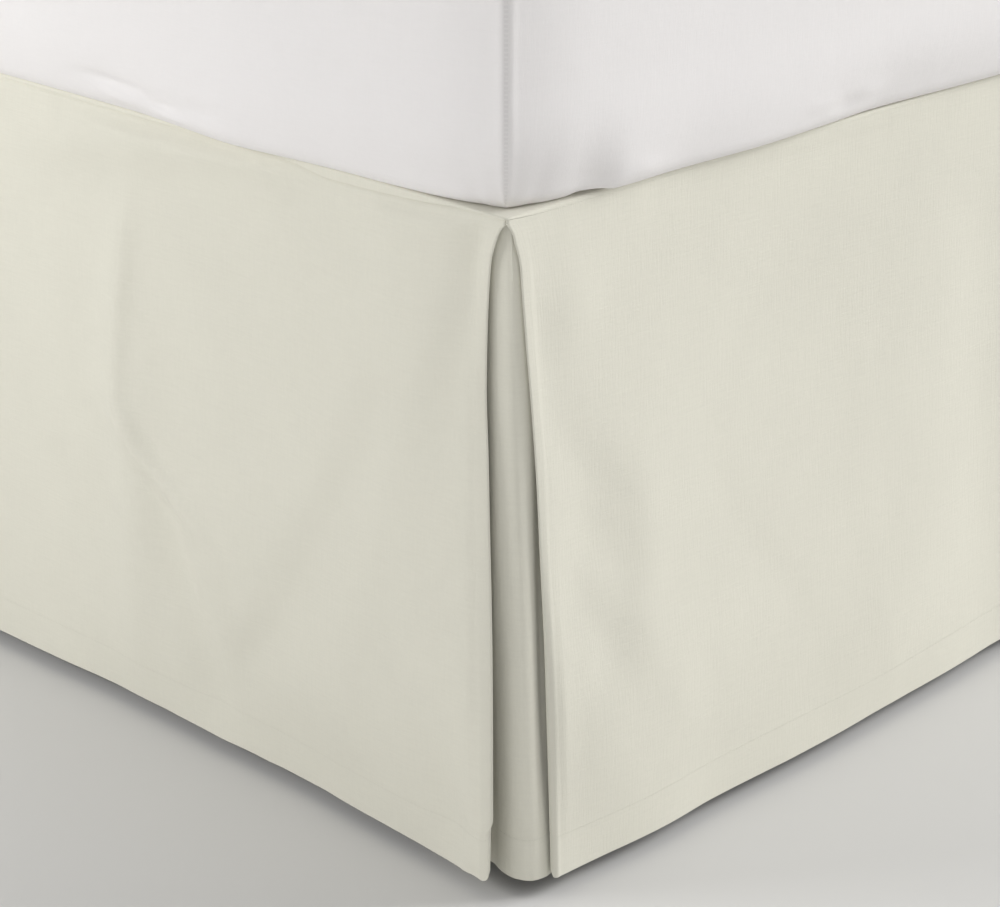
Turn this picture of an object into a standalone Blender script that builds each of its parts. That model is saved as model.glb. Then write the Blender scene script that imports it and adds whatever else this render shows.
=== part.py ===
"""A tailored bed skirt on a plain bed: a flat deck under the mattress, three hung
panels and a corner underlay behind each split foot corner. Metres, +Z up, the floor
at z = 0, the foot of the bed at -Y and its open head end at +Y."""

from collections import namedtuple

import bmesh
import bpy
import numpy as np
from mathutils import Vector

# The skirt's cut sizes
DECK_WIDTH = 1.524
DECK_LENGTH = 2.032
DROP = 0.381
PANEL_HEAD_SETBACK = 0.003
DECK_HEAD_SETBACK = 0.008
HEM_CLEARANCE = 0.010
HEM_DEPTH = 0.025
SIDE_HEM = 0.0095

# Cloth thicknesses: one layer, the bottom hem, and the turned side hem
LAYER = 0.002
HEM_LAYERS = 0.003
SIDE_HEM_LAYERS = 0.003
SIDE_HEM_START = 0.040

# How far the foot panel's hem swings out, which sets the part's middle
FOOT_FLARE = 0.0198

# Clearances between neighbours, and half the slit where two panels meet at a corner
GAP = 0.0003
MITRE = 0.0004

# How the cloth turns at its hems and edges, and where its folds fade in and out
HEM_STEP = 0.001
EDGE_ROUND = 0.002
EDGE_DRAW_IN = 0.3
FOLD_START = 0.120
FOLD_FADE = 0.3

# The bed: its base stands inside the skirt, and the mattress lies on the deck
BASE_INSET = 0.007
BASE_HEIGHT = 0.230
BASE_CORNER = 0.040
BASE_BEVEL = 0.005
LEG_TOP_RADIUS = 0.032
LEG_FOOT_RADIUS = 0.022
LEG_INSET = (0.120, 0.140)
MATTRESS_HEIGHT = 0.270
MATTRESS_CROWN = 0.012
MATTRESS_CORNER = 0.036
MATTRESS_HEAD_SETBACK = 0.004
CORNER_STEPS = 6
LEG_SIDES = 20
SMOOTH_ANGLE = 0.65

# Levels, worked upwards from the floor
SEAM_Z = HEM_CLEARANCE + DROP
BASE_TOP = SEAM_Z
DECK_TOP = BASE_TOP + GAP + LAYER
MATTRESS_BOTTOM = DECK_TOP + GAP

# The deck's four sides in plan
LEFT_X = -DECK_WIDTH / 2
RIGHT_X = DECK_WIDTH / 2
FOOT_Y = -(DECK_LENGTH - FOOT_FLARE) / 2
HEAD_Y = FOOT_Y + DECK_LENGTH
PANEL_LENGTH = DECK_LENGTH - PANEL_HEAD_SETBACK
DECK_HEAD_Y = HEAD_Y - DECK_HEAD_SETBACK

# The cloth of one drop is measured along its seam from a foot corner, and down from
# the seam. Every table below gives metres.
Flare = namedtuple("Flare", "along hem_out")
SeamDip = namedtuple("SeamDip", "along dip")
EdgeRow = namedtuple("EdgeRow", "down setback")
Fold = namedtuple("Fold", "line near far out")
FoldPoint = namedtuple("FoldPoint", "down along")
Corner = namedtuple("Corner", "edge hem_radius")

# The open edges of the split corner the skirt is best known by, and of the other one
LEFT_EDGE = (
    EdgeRow(0.0000, 0.0004),
    EdgeRow(0.0025, 0.0012),
    EdgeRow(0.0080, 0.0062),
    EdgeRow(0.0160, 0.0091),
    EdgeRow(0.0270, 0.0117),
    EdgeRow(0.0400, 0.0127),
    EdgeRow(0.0980, 0.0135),
    EdgeRow(0.1400, 0.0110),
    EdgeRow(0.2200, 0.0069),
    EdgeRow(0.3000, 0.0037),
    EdgeRow(DROP, 0.0037),
)
FOOT_LEFT_EDGE = (
    EdgeRow(0.0000, 0.0004),
    EdgeRow(0.0025, 0.0012),
    EdgeRow(0.0080, 0.0055),
    EdgeRow(0.0160, 0.0081),
    EdgeRow(0.0270, 0.0106),
    EdgeRow(0.0650, 0.0129),
    EdgeRow(0.1400, 0.0174),
    EdgeRow(0.2200, 0.0189),
    EdgeRow(0.2600, 0.0194),
    EdgeRow(DROP, 0.0183),
)
PLAIN_EDGE = (
    EdgeRow(0.0000, 0.0004),
    EdgeRow(0.0080, 0.0050),
    EdgeRow(0.0270, 0.0100),
    EdgeRow(0.0980, 0.0125),
    EdgeRow(DROP, 0.0130),
)
STRAIGHT_EDGE = (EdgeRow(0.0, 0.0), EdgeRow(DROP, 0.0))

# How far each panel's hem hangs out of the seam's plane
LEFT_FLARES = (
    Flare(0.000, 0.0092),
    Flare(0.024, 0.0083),
    Flare(0.060, 0.0059),
    Flare(0.083, 0.0047),
    Flare(0.116, 0.0031),
    Flare(0.245, 0.0027),
    Flare(0.330, 0.0012),
    Flare(0.480, 0.0045),
    Flare(0.760, 0.0015),
    Flare(1.040, 0.0060),
    Flare(1.360, 0.0020),
    Flare(1.700, 0.0065),
    Flare(DECK_LENGTH, 0.0050),
)
FOOT_FLARES = (
    Flare(0.000, 0.0175),
    Flare(0.056, 0.0175),
    Flare(0.116, 0.0196),
    Flare(0.153, 0.0183),
    Flare(0.238, FOOT_FLARE),
    Flare(0.301, 0.0188),
    Flare(0.480, 0.0140),
    Flare(0.660, 0.0185),
    Flare(0.860, 0.0130),
    Flare(1.060, 0.0180),
    Flare(1.260, 0.0120),
    Flare(1.430, 0.0165),
    Flare(DECK_WIDTH, 0.0150),
)
RIGHT_FLARES = (
    Flare(0.000, 0.0090),
    Flare(0.090, 0.0070),
    Flare(0.300, 0.0020),
    Flare(0.560, 0.0060),
    Flare(0.860, 0.0015),
    Flare(1.160, 0.0065),
    Flare(1.480, 0.0020),
    Flare(1.780, 0.0060),
    Flare(DECK_LENGTH, 0.0040),
)

# The soft folds: each has a centre line down the cloth, a reach towards the corner
# (near) and away from it (far), and how far it stands out. Troughs are negative.
LEFT_FOLDS = (
    Fold((FoldPoint(0.050, 0.119), FoldPoint(0.152, 0.124), FoldPoint(0.219, 0.167),
          FoldPoint(0.256, 0.187), FoldPoint(0.325, 0.228)), 0.016, 0.030, -0.0032),
    Fold((FoldPoint(0.150, 0.352), FoldPoint(0.224, 0.290), FoldPoint(0.282, 0.229),
          FoldPoint(0.325, 0.205)), 0.034, 0.018, -0.0030),
    Fold((FoldPoint(0.030, 0.050), FoldPoint(0.133, 0.078), FoldPoint(0.221, 0.103),
          FoldPoint(0.340, 0.135)), 0.026, 0.030, 0.0022),
    Fold((FoldPoint(0.040, 0.235), FoldPoint(0.170, 0.225), FoldPoint(0.260, 0.215)),
         0.060, 0.060, 0.0030),
    Fold((FoldPoint(0.020, 0.480), FoldPoint(0.200, 0.500), FoldPoint(DROP, 0.545)),
         0.045, 0.060, 0.0040),
    Fold((FoldPoint(0.030, 0.700), FoldPoint(0.220, 0.665), FoldPoint(DROP, 0.640)),
         0.040, 0.055, -0.0035),
    Fold((FoldPoint(0.020, 0.930), FoldPoint(0.200, 0.950), FoldPoint(DROP, 0.985)),
         0.070, 0.050, 0.0040),
    Fold((FoldPoint(0.060, 1.200), FoldPoint(0.240, 1.215), FoldPoint(DROP, 1.260)),
         0.045, 0.060, -0.0030),
    Fold((FoldPoint(0.020, 1.510), FoldPoint(0.200, 1.490), FoldPoint(DROP, 1.440)),
         0.060, 0.070, 0.0040),
    Fold((FoldPoint(0.030, 1.780), FoldPoint(0.200, 1.800), FoldPoint(DROP, 1.840)),
         0.050, 0.060, -0.0032),
)
FOOT_FOLDS = (
    Fold((FoldPoint(0.013, 0.020), FoldPoint(0.064, 0.042), FoldPoint(0.125, 0.060),
          FoldPoint(0.190, 0.080), FoldPoint(0.264, 0.078), FoldPoint(0.320, 0.072)),
         0.020, 0.016, -0.0036),
    Fold((FoldPoint(0.100, 0.112), FoldPoint(0.215, 0.110), FoldPoint(0.330, 0.112)),
         0.014, 0.040, 0.0020),
    Fold((FoldPoint(0.060, 0.176), FoldPoint(0.170, 0.174), FoldPoint(0.300, 0.190)),
         0.024, 0.028, -0.0016),
    Fold((FoldPoint(0.050, 0.262), FoldPoint(0.200, 0.255), FoldPoint(DROP, 0.262)),
         0.040, 0.040, 0.0018),
    Fold((FoldPoint(0.030, 0.420), FoldPoint(0.200, 0.430), FoldPoint(DROP, 0.450)),
         0.045, 0.060, -0.0035),
    Fold((FoldPoint(0.020, 0.640), FoldPoint(0.200, 0.655), FoldPoint(DROP, 0.675)),
         0.060, 0.050, 0.0025),
    Fold((FoldPoint(0.040, 0.880), FoldPoint(0.200, 0.865), FoldPoint(DROP, 0.850)),
         0.050, 0.060, -0.0034),
    Fold((FoldPoint(0.020, 1.100), FoldPoint(0.200, 1.085), FoldPoint(DROP, 1.065)),
         0.055, 0.055, 0.0028),
    Fold((FoldPoint(0.050, 1.300), FoldPoint(0.200, 1.290), FoldPoint(DROP, 1.270)),
         0.045, 0.050, -0.0032),
    Fold((FoldPoint(0.040, 1.440), FoldPoint(0.200, 1.425), FoldPoint(DROP, 1.415)),
         0.035, 0.030, -0.0024),
)
RIGHT_FOLDS = (
    Fold((FoldPoint(0.020, 0.120), FoldPoint(0.190, 0.135), FoldPoint(0.330, 0.160)),
         0.028, 0.032, -0.0030),
    Fold((FoldPoint(0.030, 0.260), FoldPoint(0.200, 0.240), FoldPoint(DROP, 0.215)),
         0.050, 0.060, 0.0034),
    Fold((FoldPoint(0.020, 0.560), FoldPoint(0.200, 0.580), FoldPoint(DROP, 0.620)),
         0.060, 0.045, 0.0038),
    Fold((FoldPoint(0.050, 0.800), FoldPoint(0.200, 0.780), FoldPoint(DROP, 0.760)),
         0.045, 0.060, -0.0034),
    Fold((FoldPoint(0.020, 1.100), FoldPoint(0.200, 1.120), FoldPoint(DROP, 1.160)),
         0.060, 0.060, 0.0038),
    Fold((FoldPoint(0.050, 1.420), FoldPoint(0.200, 1.400), FoldPoint(DROP, 1.370)),
         0.050, 0.060, -0.0030),
    Fold((FoldPoint(0.020, 1.740), FoldPoint(0.200, 1.750), FoldPoint(DROP, 1.785)),
         0.060, 0.060, 0.0036),
)

# How far the seam lies below or above its level as the deck rolls over the base
LEFT_DIPS = (
    SeamDip(0.000, -0.0012),
    SeamDip(0.033, -0.0007),
    SeamDip(0.048, 0.0006),
    SeamDip(0.066, 0.0020),
    SeamDip(0.100, 0.0034),
    SeamDip(0.134, 0.0041),
    SeamDip(0.160, 0.0008),
    SeamDip(0.200, 0.0003),
    SeamDip(0.320, 0.0008),
    SeamDip(DECK_LENGTH, 0.0008),
)
FOOT_DIPS = (
    SeamDip(0.000, -0.0012),
    SeamDip(0.020, 0.0000),
    SeamDip(0.066, 0.0004),
    SeamDip(DECK_WIDTH - 0.066, 0.0004),
    SeamDip(DECK_WIDTH - 0.033, 0.0000),
    SeamDip(DECK_WIDTH, -0.0010),
)
RIGHT_DIPS = (
    SeamDip(0.000, -0.0010),
    SeamDip(0.033, 0.0000),
    SeamDip(0.066, 0.0008),
    SeamDip(DECK_LENGTH, 0.0008),
)

# Where the sheets' rows and columns lie
HEM_LINE = DROP - HEM_DEPTH
ROWS = (0.0, 0.0025, 0.008, 0.016, 0.027, 0.040, 0.065, 0.098, 0.140, 0.180, 0.220, 0.260,
        0.300, 0.332, HEM_LINE - HEM_STEP, HEM_LINE + HEM_STEP, DROP - 0.006, DROP)
EDGE_COLUMNS = (0.0, EDGE_ROUND, SIDE_HEM - HEM_STEP, SIDE_HEM + HEM_STEP)
NEAR_COLUMNS = (0.020, 0.033, 0.048, 0.066, 0.083, 0.100, 0.117, 0.134, 0.147, 0.160,
                0.180, 0.200, 0.222, 0.250, 0.285, 0.320)
PLAIN_COLUMNS = (0.033, 0.066, 0.100, 0.150, 0.200, 0.260, 0.320)
FAR_SPACING = 0.075
HEAD_COLUMNS = (0.050,)
EDGE_SHIFT_REACH = 0.060

Panel = namedtuple("Panel", "origin along outward length flares folds dips near far")
UnderlayRow = namedtuple("UnderlayRow", "top hem")

LEFT_PANEL = Panel(
    Vector((LEFT_X, FOOT_Y, 0)), Vector((0, 1, 0)), Vector((-1, 0, 0)), PANEL_LENGTH,
    LEFT_FLARES, LEFT_FOLDS, LEFT_DIPS, Corner(LEFT_EDGE, 0.008), Corner(STRAIGHT_EDGE, 0.002),
)
RIGHT_PANEL = Panel(
    Vector((RIGHT_X, FOOT_Y, 0)), Vector((0, 1, 0)), Vector((1, 0, 0)), PANEL_LENGTH,
    RIGHT_FLARES, RIGHT_FOLDS, RIGHT_DIPS, Corner(PLAIN_EDGE, 0.006), Corner(STRAIGHT_EDGE, 0.002),
)
FOOT_PANEL = Panel(
    Vector((LEFT_X, FOOT_Y, 0)), Vector((1, 0, 0)), Vector((0, -1, 0)), DECK_WIDTH,
    FOOT_FLARES, FOOT_FOLDS, FOOT_DIPS, Corner(FOOT_LEFT_EDGE, 0.004), Corner(PLAIN_EDGE, 0.006),
)

# The underlay's face in plan, from the end of its side wing round the corner to the end
# of its foot wing: (inward from the side panel's plane, inward from the foot panel's).
LEFT_UNDERLAY = (
    UnderlayRow((0.0036, 0.0660), (0.0030, 0.0660)),
    UnderlayRow((0.0036, 0.0400), (0.0040, 0.0400)),
    UnderlayRow((0.0060, 0.0215), (0.0066, 0.0190)),
    UnderlayRow((0.0066, 0.0130), (0.0057, 0.0115)),
    UnderlayRow((0.0074, 0.0100), (0.0053, 0.0046)),
    UnderlayRow((0.0084, 0.0084), (0.0060, -0.0010)),
    UnderlayRow((0.0100, 0.0074), (0.0086, -0.0068)),
    UnderlayRow((0.0130, 0.0066), (0.0124, -0.0100)),
    UnderlayRow((0.0220, 0.0060), (0.0177, -0.0109)),
    UnderlayRow((0.0290, 0.0050), (0.0250, -0.0102)),
    UnderlayRow((0.0380, 0.0042), (0.0380, -0.0060)),
    UnderlayRow((0.0500, 0.0042), (0.0500, -0.0045)),
)
RIGHT_UNDERLAY = (
    UnderlayRow((0.0036, 0.0660), (0.0030, 0.0660)),
    UnderlayRow((0.0036, 0.0400), (0.0036, 0.0400)),
    UnderlayRow((0.0060, 0.0215), (0.0050, 0.0200)),
    UnderlayRow((0.0070, 0.0120), (0.0048, 0.0090)),
    UnderlayRow((0.0084, 0.0084), (0.0070, -0.0010)),
    UnderlayRow((0.0120, 0.0070), (0.0110, -0.0070)),
    UnderlayRow((0.0220, 0.0060), (0.0190, -0.0080)),
    UnderlayRow((0.0380, 0.0042), (0.0380, -0.0060)),
    UnderlayRow((0.0500, 0.0042), (0.0500, -0.0045)),
)
UNDERLAY_ROWS = (0.0, 0.040, 0.090, 0.150, 0.210, 0.270, 0.320,
                 HEM_LINE - HEM_STEP, HEM_LINE + HEM_STEP, DROP)
UNDERLAY_TOP = BASE_TOP - GAP

# The deck's rim, rolled over the base's edge: how far in from the seam, and what share of
# the way down to it
RimRow = namedtuple("RimRow", "inset share")
RIM_ROWS = (
    RimRow(0.0018, 0.06),
    RimRow(0.0005, 0.35),
    RimRow(0.0000, 1.00),
)
DECK_TURN = 0.012

# The mattress: how its side stands in or out round the bed, and its profile upwards
Bulge = namedtuple("Bulge", "along out")
LONG_BULGES = (
    Bulge(0.052, 0.0030),
    Bulge(0.087, 0.0046),
    Bulge(0.121, 0.0070),
    Bulge(0.157, 0.0104),
    Bulge(0.203, 0.0142),
    Bulge(0.255, 0.0104),
    Bulge(0.302, 0.0071),
    Bulge(0.480, 0.0090),
    Bulge(0.900, 0.0120),
    Bulge(1.250, 0.0100),
    Bulge(1.600, 0.0115),
    Bulge(1.850, 0.0075),
    Bulge(1.960, 0.0020),
)
SHORT_BULGES = (
    Bulge(0.051, 0.0016),
    Bulge(0.080, 0.0090),
    Bulge(0.125, 0.0082),
    Bulge(0.188, 0.0098),
    Bulge(0.258, 0.0063),
    Bulge(0.298, 0.0040),
    Bulge(0.550, 0.0080),
    Bulge(0.800, 0.0100),
    Bulge(1.080, 0.0080),
    Bulge(1.300, 0.0095),
    Bulge(1.440, 0.0060),
    Bulge(1.475, 0.0015),
)
ProfileRow = namedtuple("ProfileRow", "up inset")
MATTRESS_PROFILE = (
    ProfileRow(0.000, 0.0045),
    ProfileRow(0.003, 0.0020),
    ProfileRow(0.008, 0.0000),
    ProfileRow(0.070, -0.002),
    ProfileRow(0.135, -0.003),
    ProfileRow(0.200, -0.001),
    ProfileRow(0.240, 0.004),
    ProfileRow(0.258, 0.013),
    ProfileRow(MATTRESS_HEIGHT - MATTRESS_CROWN / 2, 0.030),
    ProfileRow(MATTRESS_HEIGHT - MATTRESS_CROWN / 4, 0.080),
    ProfileRow(MATTRESS_HEIGHT, 0.320),
)

Finish = namedtuple("Finish", "color roughness metallic")
SKIRT_CLOTH = Finish((0.66, 0.645, 0.56), 0.85, 0.0)
DECK_CLOTH = Finish((0.68, 0.665, 0.59), 0.85, 0.0)
COVER_CLOTH = Finish((0.80, 0.80, 0.79), 0.8, 0.0)
BASE_CLOTH = Finish((0.45, 0.43, 0.39), 0.9, 0.0)
LEG_WOOD = Finish((0.10, 0.06, 0.035), 0.5, 0.0)


def clear_scene():
    for item in list(bpy.data.objects):
        bpy.data.objects.remove(item, do_unlink=True)


def material_for(name, finish):
    material = bpy.data.materials.new(name)
    material.use_nodes = True
    shader = material.node_tree.nodes["Principled BSDF"]
    shader.inputs["Base Color"].default_value = (*finish.color, 1.0)
    shader.inputs["Roughness"].default_value = finish.roughness
    shader.inputs["Metallic"].default_value = finish.metallic
    return material


def add_object(name, shape, finish):
    """Turns a bmesh into a named object with its own material."""
    bmesh.ops.recalc_face_normals(shape, faces=shape.faces)
    mesh = bpy.data.meshes.new(name)
    shape.to_mesh(mesh)
    shape.free()
    mesh.materials.append(material_for(name, finish))
    mesh.shade_smooth()
    mesh.set_sharp_from_angle(angle=SMOOTH_ANGLE)
    placed = bpy.data.objects.new(name, mesh)
    bpy.context.scene.collection.objects.link(placed)
    return placed


def read_table(rows, at):
    """The second column of a two-column table, where its first column is `at`."""
    keys, values = zip(*rows)
    return float(np.interp(at, keys, values))


def ease(value):
    value = min(max(value, 0.0), 1.0)
    return value * value * (3 - 2 * value)


def fold_out(fold, along, down):
    """How far one fold moves the cloth out here, fading at both ends of its line."""
    first, last = fold.line[0].down, fold.line[-1].down
    fade = FOLD_FADE * (last - first)
    strength = ease((down - first) / fade + 0.5)
    if last < DROP:
        strength *= ease((last - down) / fade + 0.5)
    offset = along - read_table(fold.line, down)
    reach = fold.far if offset > 0 else fold.near
    return fold.out * strength * np.exp(-((offset / reach) ** 2))


def cloth_out(panel, along, down):
    """How far the panel's face stands out of the seam's plane."""
    swing = read_table(panel.flares, along) * down / DROP
    folds = sum(fold_out(fold, along, down) for fold in panel.folds)
    return swing + folds * ease(down / FOLD_START)


def layers(distance, down):
    """The cloth's thickness here. The side hem is pressed flat where the seam takes it."""
    thick = HEM_LAYERS if down > HEM_LINE else LAYER
    if distance < SIDE_HEM:
        side = LAYER + (SIDE_HEM_LAYERS - LAYER) * min(down / SIDE_HEM_START, 1)
        thick = max(thick, side)
    return thick


def column_positions(panel):
    """The distances along a panel at which its columns stand, edge to edge."""
    split_far = panel is FOOT_PANEL
    near = PLAIN_COLUMNS if panel is RIGHT_PANEL else NEAR_COLUMNS
    far = PLAIN_COLUMNS if split_far else HEAD_COLUMNS
    middle_start, middle_end = near[-1], panel.length - far[-1]
    count = round((middle_end - middle_start) / FAR_SPACING)
    middle = np.linspace(middle_start, middle_end, count + 1)[1:-1]
    back = [panel.length - at for at in reversed(EDGE_COLUMNS + far)]
    return [*EDGE_COLUMNS, *near, *middle, *back]


def hem_lift(radius, distance):
    """How far a rounded bottom corner lifts the hem at a distance from the edge."""
    if distance >= radius:
        return 0.0
    return radius - (radius**2 - (radius - distance) ** 2) ** 0.5


def seam_level(panel, along, inner):
    """The height of the panel's top edge on its outer or inner face."""
    level = SEAM_Z - read_table(panel.dips, along)
    return min(level, DECK_TOP - LAYER) - GAP / 2 if inner else level - GAP / 2


def panel_point(panel, column, down, inner):
    """A point of one face of the panel, at a column position and a depth."""
    from_near, from_far = column, panel.length - column
    near_shift = read_table(panel.near.edge, down) * max(0, 1 - from_near / EDGE_SHIFT_REACH)
    far_shift = read_table(panel.far.edge, down) * max(0, 1 - from_far / EDGE_SHIFT_REACH)
    along = column + near_shift - far_shift
    distance = min(from_near, from_far)
    thick = layers(distance, down)
    out = cloth_out(panel, along, down) - (thick if inner else 0.0)
    if distance == 0.0:
        out += EDGE_DRAW_IN * thick * (1 if inner else -1)
    if panel.near.edge is not STRAIGHT_EDGE:
        along = max(along, MITRE - out)
    if panel.far.edge is not STRAIGHT_EDGE:
        along = min(along, panel.length - MITRE + out)
    near_lift = hem_lift(panel.near.hem_radius, from_near)
    far_lift = hem_lift(panel.far.hem_radius, from_far)
    seam = seam_level(panel, column, inner)
    hem = HEM_CLEARANCE + max(near_lift, far_lift)
    height = seam + (hem - seam) * down / DROP
    place = panel.origin + panel.along * along + panel.outward * out
    return Vector((place.x, place.y, height))


def closed_sheet(outer, inner):
    """A thin closed solid between two grids of points, each a list of rows."""
    shape = bmesh.new()
    grids = [[[shape.verts.new(p) for p in row] for row in side] for side in (outer, inner)]
    rows, columns = len(outer), len(outer[0])
    for grid in grids:
        for r in range(rows - 1):
            for c in range(columns - 1):
                corners = grid[r][c], grid[r][c + 1], grid[r + 1][c + 1], grid[r + 1][c]
                shape.faces.new(corners)
    for c in range(columns - 1):
        for r in (0, rows - 1):
            ends = grids[0][r][c], grids[0][r][c + 1], grids[1][r][c + 1], grids[1][r][c]
            shape.faces.new(ends)
    for r in range(rows - 1):
        for c in (0, columns - 1):
            ends = grids[0][r][c], grids[0][r + 1][c], grids[1][r + 1][c], grids[1][r][c]
            shape.faces.new(ends)
    return shape


def build_panel(name, panel):
    columns = column_positions(panel)
    outer = [[panel_point(panel, c, r, False) for c in columns] for r in ROWS]
    inner = [[panel_point(panel, c, r, True) for c in columns] for r in ROWS]
    add_object(name, closed_sheet(outer, inner), SKIRT_CLOTH)


def build_underlay(name, rows, side):
    """A narrow sheet bent round a foot corner, behind both panels' open edges."""
    corner_x = LEFT_X if side < 0 else RIGHT_X

    def face(down, inner):
        share = down / DROP
        flat = [
            Vector(top).lerp(Vector(hem), share)
            for top, hem in ((row.top, row.hem) for row in rows)
        ]
        half = (HEM_LAYERS if down > HEM_LINE else LAYER) / 2
        shift = -half if inner else half
        height = UNDERLAY_TOP + (HEM_CLEARANCE - UNDERLAY_TOP) * share
        points = []
        for index, here in enumerate(flat):
            before, after = flat[max(index - 1, 0)], flat[min(index + 1, len(flat) - 1)]
            run = (after - before).normalized()
            placed = here + Vector((run.y, -run.x)) * shift
            points.append(Vector((corner_x - side * placed.x, FOOT_Y + placed.y, height)))
        return points

    outer = [face(down, False) for down in UNDERLAY_ROWS]
    inner = [face(down, True) for down in UNDERLAY_ROWS]
    add_object(name, closed_sheet(outer, inner), SKIRT_CLOTH)


def deck_outline():
    """The deck's rim, anticlockwise: (plan point, outward, how deep the seam lies)."""
    rim = []
    sides = (
        (LEFT_PANEL, [row.along for row in reversed(LEFT_DIPS)]),
        (FOOT_PANEL, [row.along for row in FOOT_DIPS]),
        (RIGHT_PANEL, [row.along for row in RIGHT_DIPS]),
    )
    for panel, stops in sides:
        for along in stops:
            at_corner = along == 0.0 or (panel is FOOT_PANEL and along == panel.length)
            if at_corner and panel is not FOOT_PANEL:
                continue
            outward = panel.outward.copy()
            if at_corner:
                outward += Vector((-1 if along == 0.0 else 1, 0, 0))
            deep = DECK_TOP - SEAM_Z + read_table(panel.dips, along) - GAP / 2
            place = panel.origin + panel.along * along
            place.y = min(place.y, DECK_HEAD_Y)
            rim.append((place, outward, deep))
    for x in (RIGHT_X - DECK_TURN, LEFT_X + DECK_TURN):
        rim.append((Vector((x, DECK_HEAD_Y, 0)), Vector((0, 1, 0)), LAYER))
    return rim


def build_deck():
    """The flat platform cloth, its rim rolled down to the seam on three sides."""
    rim = deck_outline()
    shape = bmesh.new()

    def ring(inset, level):
        verts = []
        for place, outward, deep in rim:
            at = place - outward * inset
            at.z = level(deep)
            verts.append(shape.verts.new(at))
        return verts

    top = ring(DECK_TURN, lambda deep: DECK_TOP)
    rolled = [ring(row.inset, lambda deep: DECK_TOP - row.share * deep) for row in RIM_ROWS]
    lip = ring(LAYER, lambda deep: DECK_TOP - max(deep, LAYER))
    behind = ring(LAYER + GAP, lambda deep: DECK_TOP - LAYER)
    under = ring(DECK_TURN, lambda deep: DECK_TOP - LAYER)
    rings = [top, *rolled, lip, behind, under]
    for upper, lower in zip(rings, rings[1:]):
        for here in range(len(rim)):
            after = (here + 1) % len(rim)
            shape.faces.new((upper[here], upper[after], lower[after], lower[here]))
    shape.faces.new(rings[0])
    shape.faces.new(reversed(rings[-1]))
    add_object("deck", shape, DECK_CLOTH)


def mattress_outline():
    """The mattress in plan, a rectangle with round corners whose sides bow as the tables
    say: (point, outward direction). Each table measures from a foot corner."""
    outline = []
    head = HEAD_Y - MATTRESS_HEAD_SETBACK
    long_side = head - FOOT_Y
    radius = MATTRESS_CORNER
    corners = (
        (Vector((LEFT_X, FOOT_Y)), Vector((1, 0)), DECK_WIDTH, SHORT_BULGES),
        (Vector((RIGHT_X, FOOT_Y)), Vector((0, 1)), long_side, LONG_BULGES),
        (Vector((RIGHT_X, head)), Vector((-1, 0)), DECK_WIDTH, ()),
        (Vector((LEFT_X, head)), Vector((0, -1)), long_side, LONG_BULGES),
    )
    for index, (start, run, length, bulges) in enumerate(corners):
        out = Vector((run.y, -run.x))
        for step in range(CORNER_STEPS + 1):
            turn = (step / CORNER_STEPS) * np.pi / 2
            way = out * np.sin(turn) - run * np.cos(turn)
            outline.append((start + (run - out) * radius + way * radius, way))
        backwards = index == 3
        for bulge in reversed(bulges) if backwards else bulges:
            along = length - bulge.along if backwards else bulge.along
            if radius < along < length - radius:
                outline.append((start + run * along + out * bulge.out, out))
    return outline


def build_mattress():
    """One filled solid: bowed sides, drawn in at the corners, and a crowned top."""
    outline = mattress_outline()
    shape = bmesh.new()
    rings = []
    for up, inset in MATTRESS_PROFILE:
        ring = []
        for place, way in outline:
            at = place - way * inset
            if inset > MATTRESS_CORNER:
                at = place * (1 - inset / (DECK_WIDTH / 2))
            ring.append(shape.verts.new((at.x, at.y, MATTRESS_BOTTOM + up)))
        rings.append(ring)
    for lower, upper in zip(rings, rings[1:]):
        for here in range(len(outline)):
            after = (here + 1) % len(outline)
            shape.faces.new((lower[here], lower[after], upper[after], upper[here]))
    shape.faces.new(rings[0])
    shape.faces.new(rings[-1])
    add_object("mattress", shape, COVER_CLOTH)


def build_base():
    """A plain upholstered box with rounded upright corners."""
    half_width = DECK_WIDTH / 2 - BASE_INSET
    foot = FOOT_Y + BASE_INSET
    shape = bmesh.new()
    bmesh.ops.create_cube(shape, size=1.0)
    for vert in shape.verts:
        vert.co.x *= 2 * half_width
        vert.co.y = foot if vert.co.y < 0 else HEAD_Y
        vert.co.z = BASE_TOP if vert.co.z > 0 else BASE_TOP - BASE_HEIGHT
    upright = [e for e in shape.edges if abs(e.verts[0].co.z - e.verts[1].co.z) > BASE_HEIGHT / 2]
    bmesh.ops.bevel(
        shape, geom=upright, offset=BASE_CORNER, segments=CORNER_STEPS, profile=0.5, affect="EDGES"
    )
    level = [e for e in shape.edges if abs(e.verts[0].co.z - e.verts[1].co.z) < BASE_BEVEL]
    bmesh.ops.bevel(shape, geom=level, offset=BASE_BEVEL, segments=2, profile=0.5, affect="EDGES")
    add_object("bed_base", shape, BASE_CLOTH)


def build_legs():
    """Three tapered legs along each side."""
    side_x = DECK_WIDTH / 2 - LEG_INSET[0]
    stations = {"foot": FOOT_Y + LEG_INSET[1], "middle": 0.0, "head": HEAD_Y - LEG_INSET[1]}
    height = BASE_TOP - BASE_HEIGHT - GAP
    for station, y in stations.items():
        for side, x in (("left", -side_x), ("right", side_x)):
            shape = bmesh.new()
            bmesh.ops.create_cone(
                shape, cap_ends=True, segments=LEG_SIDES, radius1=LEG_FOOT_RADIUS,
                radius2=LEG_TOP_RADIUS, depth=height
            )
            bmesh.ops.translate(shape, vec=(0, 0, height / 2), verts=shape.verts)
            leg = add_object(f"leg_{station}_{side}", shape, LEG_WOOD)
            leg.location = (x, y, 0)


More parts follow.
